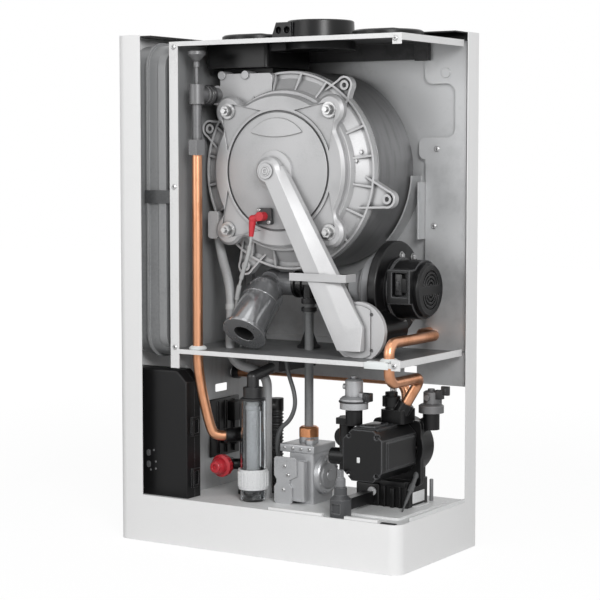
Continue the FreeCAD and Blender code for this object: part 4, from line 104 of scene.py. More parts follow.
def grained(name, colour, shade, grain_mm, height_mm, roughness, metallic=0.0, stretch=(1, 1, 1), spread=0.06,
            cloud_mm=60.0, edge_mm=0.8, highlight_and_wear=None, corner_shade=None, **sockets):
    """Finish with fine grain, broad faint patches and real bump, a painted highlight with some wear on its
    edges, and painted shade in its corners.
    """
    material, tree, shader = new_material(name, colour, roughness, metallic, **sockets)
    place = add_node(tree, "ShaderNodeTexCoord")
    place = add_node(tree, "ShaderNodeMapping", {"Scale": stretch}, {"Vector": place.outputs["Object"]})
    grain = add_node(tree, "ShaderNodeTexNoise",
                     {"Scale": 1 / (grain_mm * MM), "Detail": 3.0, "Roughness": 0.55},
                     {"Vector": place.outputs["Vector"]})
    cloud = add_node(tree, "ShaderNodeTexNoise", {"Scale": 1 / (cloud_mm * MM), "Detail": 2.0},
                     {"Vector": place.outputs["Vector"]})
    both = add_node(tree, "ShaderNodeMath", {"operation": "ADD"},
                    {0: grain.outputs["Fac"], 1: cloud.outputs["Fac"]})
    tone = add_node(tree, "ShaderNodeValToRGB", None, {"Fac": both.outputs["Value"]})
    dark, light = tone.color_ramp.elements
    dark.position, dark.color = TONE_DARK, hex_colour(shade)
    light.position, light.color = TONE_LIGHT, hex_colour(colour)
    gloss = add_node(tree, "ShaderNodeMapRange", {"To Min": roughness - spread, "To Max": roughness + spread},
                     {"Value": grain.outputs["Fac"]})
    bump = add_node(tree, "ShaderNodeBump", {"Distance": height_mm * MM, "Strength": BUMP_STRENGTH},
                    {"Height": grain.outputs["Fac"]})
    tree.links.new(gloss.outputs["Result"], shader.inputs["Roughness"])
    tree.links.new(bump.outputs["Normal"], shader.inputs["Normal"])
    if edge_mm == 0:
        tree.links.new(tone.outputs["Color"], shader.inputs["Base Color"])
        return material
    # Painted highlight, with some wear: a paler colour mixed in along edges, where the rounded normal turns
    # from the true one.
    rounded = add_node(tree, "ShaderNodeBevel", {"samples": 4, "Radius": edge_mm * MM})
    tree.links.new(rounded.outputs["Normal"], bump.inputs["Normal"])
    flat = add_node(tree, "ShaderNodeNewGeometry")
    turn = add_node(tree, "ShaderNodeVectorMath", {"operation": "DOT_PRODUCT"},
                    {0: rounded.outputs["Normal"], 1: flat.outputs["Normal"]})
    highlight_wear = add_node(tree, "ShaderNodeMapRange",
                    {"From Min": HIGHLIGHT_WEAR_START, "From Max": HIGHLIGHT_WEAR_FULL, "To Min": 0.0, "To Max": HIGHLIGHT_WEAR_SHARE},
                    {"Value": turn.outputs["Value"]})
    paint = add_node(tree, "ShaderNodeMix", {"data_type": "RGBA", 7: hex_colour(highlight_and_wear or colour)},
                     {0: highlight_wear.outputs["Result"], 6: tone.outputs["Color"]})
    # Painted shade: a darker colour mixed in where ambient occlusion finds the surface hemmed in.
    if corner_shade:
        hollow = add_node(tree, "ShaderNodeAmbientOcclusion",
                          {"samples": 8, "only_local": True, "Distance": SHADE_REACH_MM * MM})
        shade_mask = add_node(tree, "ShaderNodeMapRange",
                        {"From Min": SHADE_START, "From Max": SHADE_FULL, "To Min": 0.0, "To Max": SHADE_SHARE},
                        {"Value": hollow.outputs["AO"]})
        paint = add_node(tree, "ShaderNodeMix", {"data_type": "RGBA", 7: hex_colour(corner_shade)},
                         {0: shade_mask.outputs["Result"], 6: paint.outputs[2]})
    tree.links.new(paint.outputs[2], shader.inputs["Base Color"])
    return material


def blacken(material, axis, joint_mm, black):
    """Turns a moulding black beyond a joint line that lies across one axis."""
    tree = material.node_tree
    shader = next(node for node in tree.nodes if node.type == "BSDF_PRINCIPLED")
    paint = shader.inputs["Base Color"].links[0].from_socket
    place = add_node(tree, "ShaderNodeTexCoord")
    across = add_node(tree, "ShaderNodeSeparateXYZ", None, {"Vector": place.outputs["Object"]})
    side = add_node(tree, "ShaderNodeMath", {"operation": "GREATER_THAN", 1: joint_mm * MM},
                    {0: across.outputs[axis]})
    both = add_node(tree, "ShaderNodeMix", {"data_type": "RGBA", 7: hex_colour(black)},
                    {0: side.outputs["Value"], 6: paint})
    tree.links.new(both.outputs[2], shader.inputs["Base Color"])


# Finishes

# Finishes given a paler edge colour get a painted highlight, with some wear, along their edges; finishes
# given a corner colour get painted shade in their corners.
# Powder coat on the casing: white and even, with a faint orange-peel that softens highlights.
white_coat = grained("powder_coat_white", "#ECECEC", "#EBEBEB", grain_mm=3.0, height_mm=0.02, roughness=0.36,
                     spread=0.03, edge_mm=0)
# The same coat on the bent rails of the frame, with a painted highlight along the bends and painted shade in
# its corners.
frame_coat = grained("powder_coat_frame", "#E2E2E2", "#DADADA", grain_mm=3.0, height_mm=0.02, roughness=0.36,
                     spread=0.03, highlight_and_wear="#FAFAFA", corner_shade="#8A8A8A")
# The same coat in black on the hanger rail.
black_coat = grained("powder_coat_black", "#161616", "#121212", grain_mm=3.0, height_mm=0.02, roughness=0.45,
                     spread=0.03, highlight_and_wear="#3A3A3A")
# Zinc-coated sheet round the chamber: satin grey with a broad, faint spangle.
zinc_sheet = grained("zinc_coated_sheet", "#BCBDBE", "#B2B3B4", grain_mm=14.0, height_mm=0.02, roughness=0.40,
                     metallic=0.35, cloud_mm=120, highlight_and_wear="#E0E0E0")
# Floor of the chamber: the same sheet, painted darker as shade.
floor_sheet = grained("shade_darkened_zinc_sheet", "#7A7B7C", "#646566", grain_mm=12.0, height_mm=0.02, roughness=0.5,
                      metallic=0.3, highlight_and_wear="#B0B0B0")
# The same sheet down the left side, brushed upright and duller, and painted darker as the shade on that wall.
side_sheet = grained("shade_darkened_zinc_side", "#A6A7A8", "#9A9B9C", grain_mm=10.0, height_mm=0.02, roughness=0.45,
                     metallic=0.35, stretch=(1, 1, 0.2), highlight_and_wear="#C0C0C0")
# The roof sheet and the igniter plate: dark and matt; on the roof the dark is painted shade.
roof_sheet = grained("shade_darkened_sheet", "#4A4A4B", "#3A3A3B", grain_mm=12.0, height_mm=0.02, roughness=0.6,
                     metallic=0.2, highlight_and_wear="#8A8A8A")
# Tray paint: light grey, a little rougher than the casing.
tray_coat = grained("tray_enamel", "#E4E5E5", "#DCDDDD", grain_mm=4.0, height_mm=0.02, roughness=0.4,
                    spread=0.04, highlight_and_wear="#F4F4F4")
# Vessel enamel: mid grey, semi-gloss.
vessel_coat = grained("vessel_enamel", "#8E8F90", "#868788", grain_mm=5.0, height_mm=0.02, roughness=0.34,
                      spread=0.03, edge_mm=1.2, highlight_and_wear="#B8B9B9")
# Strap of the vessel: the same enamel, darker.
strap_coat = grained("strap_enamel", "#4C4D4E", "#444546", grain_mm=4.0, height_mm=0.02, roughness=0.4,
                     spread=0.03, highlight_and_wear="#7A7B7C")
# Sand-cast aluminium: pale grey, with a grit that breaks up the shine, drawn coarse enough to show.
cast_aluminium = grained("cast_aluminium", "#C0C0C1", "#B0B0B1", grain_mm=1.2, height_mm=0.08, roughness=0.50,
                         metallic=0.35, edge_mm=1.2, highlight_and_wear="#F0F0F0", corner_shade=METAL_CORNER_SHADE)
# Shot-blasted casting of the mixing duct: even light grey, with a painted highlight on its arrises.
duct_aluminium = grained("shot_blasted_aluminium", "#C2C2C3", "#B8B8B9", grain_mm=1.0, height_mm=0.04,
                         roughness=0.44, metallic=0.3, edge_mm=0.7, highlight_and_wear="#E6E6E6", corner_shade=METAL_CORNER_SHADE)
# Casting round the fan inlet: the same alloy, left raw and darker.
raw_aluminium = grained("raw_cast_aluminium", "#A2A3A5", "#949597", grain_mm=1.4, height_mm=0.08,
                        roughness=0.46, metallic=0.4, highlight_and_wear="#BCBCBC", corner_shade=METAL_CORNER_SHADE)
# Blasted face of the burner door: the same casting, a shade darker and finer.
door_aluminium = grained("blasted_aluminium", "#B4B4B5", "#A6A6A7", grain_mm=1.0, height_mm=0.06,
                         roughness=0.46, metallic=0.4, edge_mm=1.2, highlight_and_wear="#EAEAEA", corner_shade=METAL_CORNER_SHADE)
# Die-cast aluminium on valves: smoother and shinier than the castings.
die_cast = grained("die_cast_aluminium", "#B4B5B7", "#A4A5A7", grain_mm=1.6, height_mm=0.05, roughness=0.36,
                   metallic=0.45, highlight_and_wear="#F0F0F0", corner_shade=METAL_CORNER_SHADE)
# Rolled stainless of the drum: drawn round the axis, darker than the castings.
drum_steel = grained("rolled_stainless", "#868687", "#747475", grain_mm=2.0, height_mm=0.02, roughness=0.40,
                     metallic=0.6, stretch=(1, 6, 1), highlight_and_wear="#D0D0D0")
# Zinc plating on nuts and fasteners: bright, with painted shade where they seat.
zinc_plate = grained("zinc_plating", "#C2C2C2", "#AEAEAF", grain_mm=1.5, height_mm=0.03, roughness=0.30,
                     metallic=0.85, edge_mm=0.5, highlight_and_wear="#F0F0F0", corner_shade=METAL_CORNER_SHADE)
# Nickel-plated brass of the flow header and the flow switch: grey and soft in its shine.
header_plate = grained("nickel_plating", "#767677", "#68686A", grain_mm=1.5, height_mm=0.03, roughness=0.42,
                       metallic=0.5, highlight_and_wear="#C4C4C4", corner_shade=METAL_CORNER_SHADE)
# Drawn copper tube: warm and smooth, with faint broad tarnish.
copper = grained("drawn_copper", "#E0A480", "#CA8C66", grain_mm=8.0, height_mm=0.01, roughness=0.30,
                 metallic=0.95, stretch=(1, 1, 0.3), spread=0.03, cloud_mm=40, edge_mm=0)
# Machined copper alloy of the gas nut: a little browner than the tube.
nut_alloy = grained("turned_copper_alloy", "#DC9A6E", "#C8845A", grain_mm=1.5, height_mm=0.03, roughness=0.32,
                    metallic=0.8, edge_mm=0.6, highlight_and_wear="#E8B48C")
# Painted steel gas pipe: flat mid grey.
gas_paint = grained("pipe_paint_grey", "#7E7F80", "#767778", grain_mm=3.0, height_mm=0.02, roughness=0.42,
                    spread=0.04, highlight_and_wear="#A8A9AA")
# Glass-filled nylon of pump and fan: near black, with a painted highlight along its edges and a moulded
# grain, drawn coarse enough to show.
black_nylon = grained("glass_filled_nylon", "#0E0E0F", "#0A0A0B", grain_mm=0.9, height_mm=0.03,
                      roughness=0.32, edge_mm=1.4, highlight_and_wear="#565657", **NYLON_SHINE)
# The same nylon on the pump's motor case, with a wide painted grey highlight on its rounded corners.
pump_nylon = grained("glass_filled_nylon_case", "#141415", "#101011", grain_mm=0.9, height_mm=0.03,
                     roughness=0.30, edge_mm=3.5, highlight_and_wear="#77787A", **NYLON_SHINE)
# Open-cell foam in the silencer's mouth: black and dead matt.
acoustic_foam = grained("acoustic_foam", "#0C0C0D", "#060607", grain_mm=1.5, height_mm=0.3, roughness=0.9,
                        spread=0.05, edge_mm=0)
# Smooth ABS of the control box: black and even.
black_abs = grained("black_abs", "#151516", "#131314", grain_mm=1.0, height_mm=0.02, roughness=0.40,
                    spread=0.04, edge_mm=1.2, highlight_and_wear="#777778", **{"Specular IOR Level": 0.3})
# Lacquered aluminium of the intake silencer: spun smooth, so it mirrors the castings round it.
silencer_lacquer = grained("lacquered_aluminium", "#9A9B9D", "#8E8F91", grain_mm=6.0, height_mm=0.0,
                           roughness=0.13, spread=0.03, metallic=0.65, edge_mm=1.5, highlight_and_wear="#DCDDDE",
                           **{"Coat Weight": 0.6, "Coat Roughness": 0.04})
# Dark polypropylene of the trap's cap, the plugs and the clips: near black, satin.
dark_polypropylene = grained("dark_polypropylene", "#2A2A2B", "#232324", grain_mm=2.0, height_mm=0.02,
                             roughness=0.32, highlight_and_wear="#77787A")
# Moulded polyamide of the filling tap: mid grey, satin.
tap_polyamide = grained("polyamide_grey", "#7A7B7D", "#707173", grain_mm=1.5, height_mm=0.02, roughness=0.36,
                        spread=0.04, highlight_and_wear="#C0C1C2")
# Milky polypropylene of the trap's union ring: pale and slightly translucent in look.
milky_polypropylene = grained("milky_polypropylene", "#DEDFE0", "#D4D5D6", grain_mm=2.0, height_mm=0.02,
                              roughness=0.28, spread=0.04, edge_mm=0.5, highlight_and_wear="#FAFAFA")
# EPDM hose: mid grey and soft.
grey_hose = grained("epdm_hose_grey", "#A2A3A4", "#969798", grain_mm=2.0, height_mm=0.03, roughness=0.46,
                    spread=0.05, edge_mm=0)
# Black EPDM of the corrugated hose and the cable gland: soft and dull.
black_hose = grained("epdm_hose_black", "#2A2A2B", "#232324", grain_mm=1.5, height_mm=0.03, roughness=0.42,
                     spread=0.05, edge_mm=0)
# Sheath of the sensor cable: dark grey PVC.
cable_sheath = grained("pvc_sheath_grey", "#5A5B5C", "#505152", grain_mm=1.5, height_mm=0.02, roughness=0.40,
                       spread=0.04, edge_mm=0)
# Silicone of the ignition boot: red and slightly matt.
red_silicone = grained("silicone_red", "#C4303A", "#B5262F", grain_mm=1.5, height_mm=0.02, roughness=0.42,
                       spread=0.04, highlight_and_wear="#DE5A60")
# Moulded polyamide of the safety valve knob: deep red and glossy, with painted shade in its hollows.
red_polyamide = grained("polyamide_red", "#BC2E38", "#AC2630", grain_mm=1.5, height_mm=0.02, roughness=0.30,
                        spread=0.04, edge_mm=0.6, highlight_and_wear="#E77078", corner_shade="#4E0C12")
# Silicone sleeve of the ignition lead: pale grey.
pale_silicone = grained("silicone_pale", "#B0B1B1", "#A4A5A5", grain_mm=1.5, height_mm=0.02, roughness=0.42,
                        spread=0.04, edge_mm=0)
# Translucent silicone of the pipe grommets: milky white.
milky_silicone = grained("silicone_milky", "#E6EAEA", "#DDE2E2", grain_mm=2.0, height_mm=0.02, roughness=0.3,
                         spread=0.04, edge_mm=0)
# Epoxy laminate of the control board: an even green.
laminate = grained("epoxy_laminate_green", "#2C6B3C", "#255C33", grain_mm=2.0, height_mm=0.02, roughness=0.4,
                   spread=0.04, edge_mm=0)
# Rubber of the push buttons: dark grey, matt.
button_rubber = grained("button_rubber", "#5C5D5E", "#555657", grain_mm=1.0, height_mm=0.02, roughness=0.5,
                        spread=0.04, edge_mm=0.4, highlight_and_wear="#8A8B8C")
# Intake moulding: a grey elbow welded to a black sleeve at one upright line, both glossy.
intake_moulding = grained("two_tone_polypropylene", "#77787A", "#707173", grain_mm=2.0, height_mm=0.01,
                          roughness=0.22, spread=0.03, highlight_and_wear="#C8C9CA")
# Filling tap: a dark grey body with its arm in black behind one joint line, both satin.
tap_moulding = grained("two_tone_polyamide", "#4A4B4D", "#424345", grain_mm=1.5, height_mm=0.02,
                       roughness=0.36, spread=0.04, highlight_and_wear="#C0C1C2")
# Smoked window of the indicator lamps: unlit, so a dim grey.
lamp_window = grained("smoked_acrylic", "#6C6D6E", "#626364", grain_mm=3.0, height_mm=0.0, roughness=0.2,
                      spread=0.02, edge_mm=0)
# Acrylic lens of the pump's lamp: white and glossy.
lamp_lens = grained("lamp_lens", "#E4E6E6", "#DADCDC", grain_mm=3.0, height_mm=0.0, roughness=0.18,
                    spread=0.02, edge_mm=0)
blacken(intake_moulding, "X", ELBOW_JOINT_MM, "#161617")
blacken(tap_moulding, "Y", TAP_JOINT_MM, "#141415")
# Clear polycarbonate of the trap cup: colourless, with a clean edge reflection.
clear_cup = new_material("clear_polycarbonate", "#DCDFE1", roughness=0.03, IOR=1.58,
                         **{"Transmission Weight": 1.0})[0]

FINISH = {
    white_coat: ("outer_casing",),
    frame_coat: ("chamber_frame",),
    tray_coat: ("base_tray",),
    black_coat: ("hanger_rail",),
    zinc_sheet: ("back_panel",),
    floor_sheet: ("chamber_floor",),
    side_sheet: ("left_panel",),
    roof_sheet: ("chamber_roof", "igniter"),
    vessel_coat: ("vessel_left_shell", "vessel_right_shell"),
    strap_coat: ("vessel_strap",),
    cast_aluminium: ("hx_front_casting",),
    duct_aluminium: ("mixing_duct",),
    raw_aluminium: ("fan_venturi",),
    door_aluminium: ("burner_door",),
    die_cast: ("gas_valve_body", "gas_valve_coil", "gas_valve_bracket", "diverter_actuator"),
    drum_steel: ("hx_drum", "burner_tube", "pump_rotor"),
    zinc_plate: ("door_nuts",),
    header_plate: ("flow_header", "flow_switch"),
    copper: ("flow_pipe", "return_pipe", "rear_pipe"),
    nut_alloy: ("gas_nut",),
    gas_paint: ("gas_pipe",),
    pump_nylon: ("pump_motor", "fan_motor"),
    black_nylon: ("fan_scroll", "fan_motor_cap", "fan_rotor", "pump_housing", "flow_block",
                  "flue_adapter", "blanking_caps", "flue_duct"),
    tap_moulding: ("tap_body",),
    tap_polyamide: ("tap_spindle",),
    black_abs: ("control_box", "control_cover"),
    silencer_lacquer: ("intake_silencer",),
    dark_polypropylene: ("siphon_cap",),
    intake_moulding: ("intake_tube",),
    milky_polypropylene: ("siphon_collar",),
    clear_cup: ("siphon_cup",),
    grey_hose: ("condensate_hose",),
    black_hose: ("ribbed_hose",),
    cable_sheath: ("sensor_cable",),
    red_silicone: ("igniter_boot",),
    red_polyamide: ("safety_valve_knob",),
    pale_silicone: ("ignition_lead",),
    milky_silicone: ("pipe_grommets",),
    laminate: ("control_board",),
    button_rubber: ("button_up", "button_down"),
}
# CAD nodes: how near two points are joined, and the turn at which an edge stays crisp.
WELD_MM = 0.01
CRISP_ANGLE = math.radians(28)


def finish_nodes():
    """Gives each CAD node its finish, and smooths its curved faces while edges stay crisp."""
    for material, names in FINISH.items():
        for name in names:
            piece = nodes[name]
            piece.data.materials.clear()
            piece.data.materials.append(material)
            piece.data.polygons.foreach_set("material_index", [0] * len(piece.data.polygons))
            piece.data.shade_smooth()
            weld = piece.modifiers.new("join_faces", "WELD")
            weld.merge_threshold = WELD_MM * MM
            edges = piece.modifiers.new("crisp_edges", "EDGE_SPLIT")
            edges.split_angle = CRISP_ANGLE


# Making pieces: sizes and places in millimetres

JOIN_MM = 0.001
SMOOTH_ANGLE = math.radians(35)
REPEAT_ANGLE = math.radians(30)
ROUND_SEGMENTS = 40
CURVE_STEPS = 16
TUBE_STEPS = 6


def add_piece(name, mesh, material, body="boiler", stands_for=()):
    """Puts a finished mesh in the scene as a piece that rides on a body."""
    piece = bpy.data.objects.new(name, mesh)
    bpy.context.scene.collection.objects.link(piece)
    mesh.materials.clear()
    mesh.materials.append(material)
    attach(piece, body)
    if stands_for:
        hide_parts(*stands_for)


def mesh_from(bm, name):
    """Closes a bmesh into a mesh with outward faces, in metres, smooth but for its sharp edges."""
    bmesh.ops.remove_doubles(bm, verts=bm.verts, dist=JOIN_MM)
    bmesh.ops.recalc_face_normals(bm, faces=bm.faces)
    bm.transform(Matrix.Scale(MM, 4))
    mesh = bpy.data.meshes.new(name)
    bm.to_mesh(mesh)
    bm.free()
    mesh.shade_smooth()
    mesh.set_sharp_from_angle(angle=SMOOTH_ANGLE)
    return mesh


def turned(bm, profile, place, axis, segments=ROUND_SEGMENTS):
    """Adds a turned form: (radius, height) pairs spun round an axis that starts at a place."""
    swing = Vector(axis).to_track_quat("Z", "Y").to_matrix()
    rows = []
    for radius, height in profile:
        row = []
        for k in range(segments):
            angle = 2 * math.pi * k / segments
            spot = Vector((radius * math.cos(angle), radius * math.sin(angle), height))
            row.append(bm.verts.new(Vector(place) + swing @ spot))
        rows.append(row)
    for low, high in zip(rows, rows[1:]):
        for k in range(segments):
            after = (k + 1) % segments
            bm.faces.new((low[k], low[after], high[after], high[k]))


def block(bm, low, high, edge):
    """Adds a box between two corners with rounded edges."""
    size = Vector(high) - Vector(low)
    place = Matrix.Translation((Vector(low) + Vector(high)) / 2) @ Matrix.Diagonal((*size, 1))
    made = bmesh.ops.create_cube(bm, size=1.0, matrix=place)
    edges = list(dict.fromkeys(line for vert in made["verts"] for line in vert.link_edges))
    bmesh.ops.bevel(bm, geom=edges, offset=edge, segments=3, profile=0.5, affect="EDGES")


def surface(node, start, way):
    """Point where a straight line from a start meets a CAD node."""
    mesh = nodes[node].data
    tree = BVHTree.FromPolygons([v.co for v in mesh.vertices], [p.vertices for p in mesh.polygons])
    hit = tree.ray_cast(Vector(start) * MM, Vector(way))[0]
    return hit / MM


# Trees for what repeats

def new_tree(name, sizes):
    """An empty Geometry Nodes tree with the points to fill, its named inputs, and its ends."""
    tree = bpy.data.node_groups.new(name, "GeometryNodeTree")
    tree.interface.new_socket(name="Points", in_out="INPUT", socket_type="NodeSocketGeometry")
    for label, kind in sizes:
        tree.interface.new_socket(name=label, in_out="INPUT", socket_type=kind)
    tree.interface.new_socket(name="Pieces", in_out="OUTPUT", socket_type="NodeSocketGeometry")
    start = add_node(tree, "NodeGroupInput")
    return tree, start.outputs


def end_tree(tree, given, links):
    """Sets a shape on every point, facing one way, and makes one mesh of it with its finish."""
    turn = add_node(tree, "FunctionNodeAlignRotationToVector", {"axis": "Z"}, {"Vector": given["Facing"]})
    spread = add_node(tree, "GeometryNodeInstanceOnPoints", None,
                      {"Points": given["Points"], "Rotation": turn.outputs["Rotation"], **links})
    real = add_node(tree, "GeometryNodeRealizeInstances", None, {"Geometry": spread.outputs["Instances"]})
    done = add_node(tree, "GeometryNodeSetMaterial", None,
                    {"Geometry": real.outputs["Geometry"], "Material": given["Finish"]})
    add_node(tree, "NodeGroupOutput", None, {"Pieces": done.outputs["Geometry"]})
    return tree


def fill_tree(name, tree, points, values):
    """Runs a tree on points and gives back the plain mesh it makes."""
    seed = bpy.data.meshes.new(name + "_points")
    seed.from_pydata([Vector(point) * MM for point in points], [], [])
    holder = bpy.data.objects.new(name + "_points", seed)
    bpy.context.scene.collection.objects.link(holder)
    step = holder.modifiers.new("pieces", "NODES")
    step.node_group = tree
    for item in tree.interface.items_tree:
        if item.in_out == "INPUT" and item.name in values:
            step[item.identifier] = values[item.name]
    graph = bpy.context.evaluated_depsgraph_get()
    mesh = bpy.data.meshes.new_from_object(holder.evaluated_get(graph))
    holder.modifiers.remove(step)
    bpy.data.objects.remove(holder)
    mesh.name = name
    mesh.shade_smooth()
    mesh.set_sharp_from_angle(angle=REPEAT_ANGLE)
    return mesh


# Screws and bolts: heads are shares of their own radius and height

FASTENER_INPUTS = (("Head Radius", "NodeSocketFloat"), ("Head Height", "NodeSocketFloat"),
                   ("Facing", "NodeSocketVector"), ("Finish", "NodeSocketMaterial"))
ROUND_SIDES, HEXAGON_SIDES = 24, 6
RIM_HEIGHT = 0.5
CROWN_TOP_RADIUS = 0.66
RECESS_LENGTH, RECESS_WIDTH, RECESS_HEIGHT = 1.05, 0.26, 0.7
WASHER_RADIUS, WASHER_HEIGHT = 1.35, 0.2
HEXAGON_HEIGHT = 0.6
CHAMFER_RADIUS, CHAMFER_HEIGHT = 0.8, 0.2
# A fastener's line starts this far in front of the node that it meets.
SIGHT_MM = 300


def screw_head(tree):
    """Pan head: a round rim, and a sloped crown with a cross recess, each with its level."""
    rim = add_node(tree, "GeometryNodeMeshCylinder",
                   {"Vertices": ROUND_SIDES, "Radius": 1.0, "Depth": RIM_HEIGHT})
    crown = add_node(tree, "GeometryNodeMeshCone",
                     {"Vertices": ROUND_SIDES, "Radius Bottom": 1.0, "Radius Top": CROWN_TOP_RADIUS,
                      "Depth": 1 - RIM_HEIGHT})
    recess = add_node(tree, "GeometryNodeMeshBoolean", {"operation": "DIFFERENCE"},
                      {"Mesh 1": crown.outputs["Mesh"]})
    for across, along in ((RECESS_LENGTH, RECESS_WIDTH), (RECESS_WIDTH, RECESS_LENGTH)):
        slot = add_node(tree, "GeometryNodeMeshCube", {"Size": (across, along, RECESS_HEIGHT)})
        raised = add_node(tree, "GeometryNodeTransform", {"Translation": (0, 0, 1 - RIM_HEIGHT)},
                          {"Geometry": slot.outputs["Mesh"]})
        tree.links.new(raised.outputs["Geometry"], recess.inputs["Mesh 2"])
    return (rim, RIM_HEIGHT / 2), (recess, RIM_HEIGHT)


def bolt_head(tree):
    """Hexagon head: a round washer, a six-sided head and a chamfered crown, each with its level."""
    washer = add_node(tree, "GeometryNodeMeshCylinder",
                      {"Vertices": ROUND_SIDES, "Radius": WASHER_RADIUS, "Depth": WASHER_HEIGHT})
    head = add_node(tree, "GeometryNodeMeshCylinder",
                    {"Vertices": HEXAGON_SIDES, "Radius": 1.0, "Depth": HEXAGON_HEIGHT})
    crown = add_node(tree, "GeometryNodeMeshCone",
                     {"Vertices": HEXAGON_SIDES, "Radius Bottom": 1.0, "Radius Top": CHAMFER_RADIUS,
                      "Depth": CHAMFER_HEIGHT})
    return ((washer, WASHER_HEIGHT / 2), (head, WASHER_HEIGHT + HEXAGON_HEIGHT / 2),
            (crown, WASHER_HEIGHT + HEXAGON_HEIGHT))


def fastener_tree(name, make_head):
    """Tree that joins a head's parts at their levels and sets the head on every point at its size."""
    tree, given = new_tree(name, FASTENER_INPUTS)
    join = add_node(tree, "GeometryNodeJoinGeometry")
    for part, level in make_head(tree):
        raised = add_node(tree, "GeometryNodeTransform", {"Translation": (0, 0, level)},
                          {"Geometry": part.outputs["Mesh"]})
        tree.links.new(raised.outputs["Geometry"], join.inputs["Geometry"])
    size = add_node(tree, "ShaderNodeCombineXYZ", None,
                    {"X": given["Head Radius"], "Y": given["Head Radius"], "Z": given["Head Height"]})
    return end_tree(tree, given, {"Instance": join.outputs["Geometry"], "Scale": size.outputs["Vector"]})


def fasteners(name, tree, node, spots, facing, radius, height, finish=zinc_plate):
    """Screws or bolts of one size, each where its line meets a CAD node, or on its spot with no node."""
    points = [surface(node, Vector(spot) + SIGHT_MM * facing, -facing) if node else spot for spot in spots]
    values = {"Head Radius": radius * MM, "Head Height": height * MM, "Facing": facing, "Finish": finish}
    add_piece(name, fill_tree(name, tree, points, values), finish)


# Gas valve: where its side cover turns, the cover's flange and its ring of screws, and its lid's front.
VALVE_COVER_PLACE = Vector((54, -122, 106))
COVER_FLANGE = 8.4
COVER_SCREWS, COVER_SCREW_RADIUS = 8, 24.4
LID_FRONT = -152
LID_SCREW_LEVEL = 145.5
LID_SCREW_PLACES = (6, 20, 34, 48)


def add_fasteners():
    """Screws and bolts of the frame, the panels, the valve, the igniter, the fan and the casting."""
    screws = fastener_tree("pan_head_screws", screw_head)
    bolts = fastener_tree("hexagon_bolts", bolt_head)
    fasteners("frame_screws", screws, "chamber_frame",
              [(-142.4, -215, 721.7), (-142.4, -215, 521.2), (-142.4, -215, 288.8), (222, -215, 722),
               (222, -215, 283)], FRONT, radius=3.8, height=2.4)
    fasteners("panel_screws", screws, "back_panel", [(183.1, -22, 575.8), (179, -22, 465.1)], FRONT,
              radius=4.2, height=2.6)
    fasteners("coil_screws", screws, "gas_valve_bracket",
              [(15.4, -166, 121.2), (20.8, -166, 108.5), (13, -166, 86.3)], FRONT, radius=3.0, height=2.2)
    fasteners("igniter_screws", screws, "igniter", [(-21.5, -180, 488.5), (-4.5, -180, 471.5)], FRONT,
              radius=2.8, height=2.0)
    ring_of_screws = []
    for k in range(COVER_SCREWS):
        angle = 2 * math.pi * (k + 0.5) / COVER_SCREWS
        spoke = COVER_SCREW_RADIUS * Vector((0, math.cos(angle), math.sin(angle)))
        ring_of_screws.append(VALVE_COVER_PLACE + COVER_FLANGE * RIGHT + spoke)
    fasteners("valve_cover_screws", screws, None, ring_of_screws, RIGHT, radius=2.0, height=1.5,
              finish=die_cast)
    fasteners("valve_front_screws", screws, None, [(x, LID_FRONT, LID_SCREW_LEVEL) for x in LID_SCREW_PLACES],
              FRONT, radius=2.6, height=1.8)
    fasteners("fan_bolts", bolts, "fan_scroll",
              [(160, -84, 424.8), (160, -50, 421), (160, -78.7, 329.5), (160, -50, 334)], RIGHT,
              radius=4.4, height=4.0)
    fasteners("casting_bolts", bolts, "hx_front_casting", [(122, -145, 559), (127, -145, 571)], FRONT,
              radius=3.2, height=3.0)


# Pipes, hoses and leads

# Flow pipe: straight down from the header, then leaning in one soft bend to the flow block.
FLOW_ROUTE = ((-114, -198, 567), (-114, -198, 300), (-114, -198, 252), (-100, -187, 166), (-93, -179.5, 158),
              (-86, -171, 158))
# Condensate hose: from the casting down through the chamber floor, then behind the trap to the tray.
HOSE_ROUTE = ((-116, -140, 445), (-112, -142, 424), (-86, -154, 374), (-83, -158, 326), (-86, -158, 262),
              (-33, -138, 252), (-33, -138, 205), (-33, -138, 66))
# Ignition lead: hangs from the boot and goes through the floor beside the hose.
LEAD_ROUTE = ((-30, -184, 451), (-31.7, -184.8, 430), (-59, -170, 385), (-74, -160, 345), (-74, -146, 312),
              (-74, -146, 286))
# Sensor cable: loops from the floor round to the gas valve's side.
CABLE_ROUTE = ((2, -142, 284.8), (2, -142, 262), (22, -144, 216), (14, -146, 186), (-8, -146, 170),
               (-16, -140, 140), (-13, -130, 112), (0, -130, 112))
# Corrugated hose: upright behind the trap, between its foot and its top.
CORRUGATED_AXIS = (-42, -98)
CORRUGATED_FOOT, CORRUGATED_TOP = 66.0, 190.0
GROOVE_RADIUS = 8.2
RIB_HEIGHT = 1.8
RIB_PITCH = 5.0
STEPS_PER_RIB = 8
# Share of its swing at which the ribs' wave is cut off, so that crests and grooves are flat.
WAVE_CUT = 0.8
CORRUGATED_INPUTS = (("Groove Radius", "NodeSocketFloat"), ("Rib Height", "NodeSocketFloat"),
                     ("Rib Pitch", "NodeSocketFloat"), ("Length", "NodeSocketFloat"),
                     ("Steps", "NodeSocketInt"), ("Facing", "NodeSocketVector"),
                     ("Finish", "NodeSocketMaterial"))


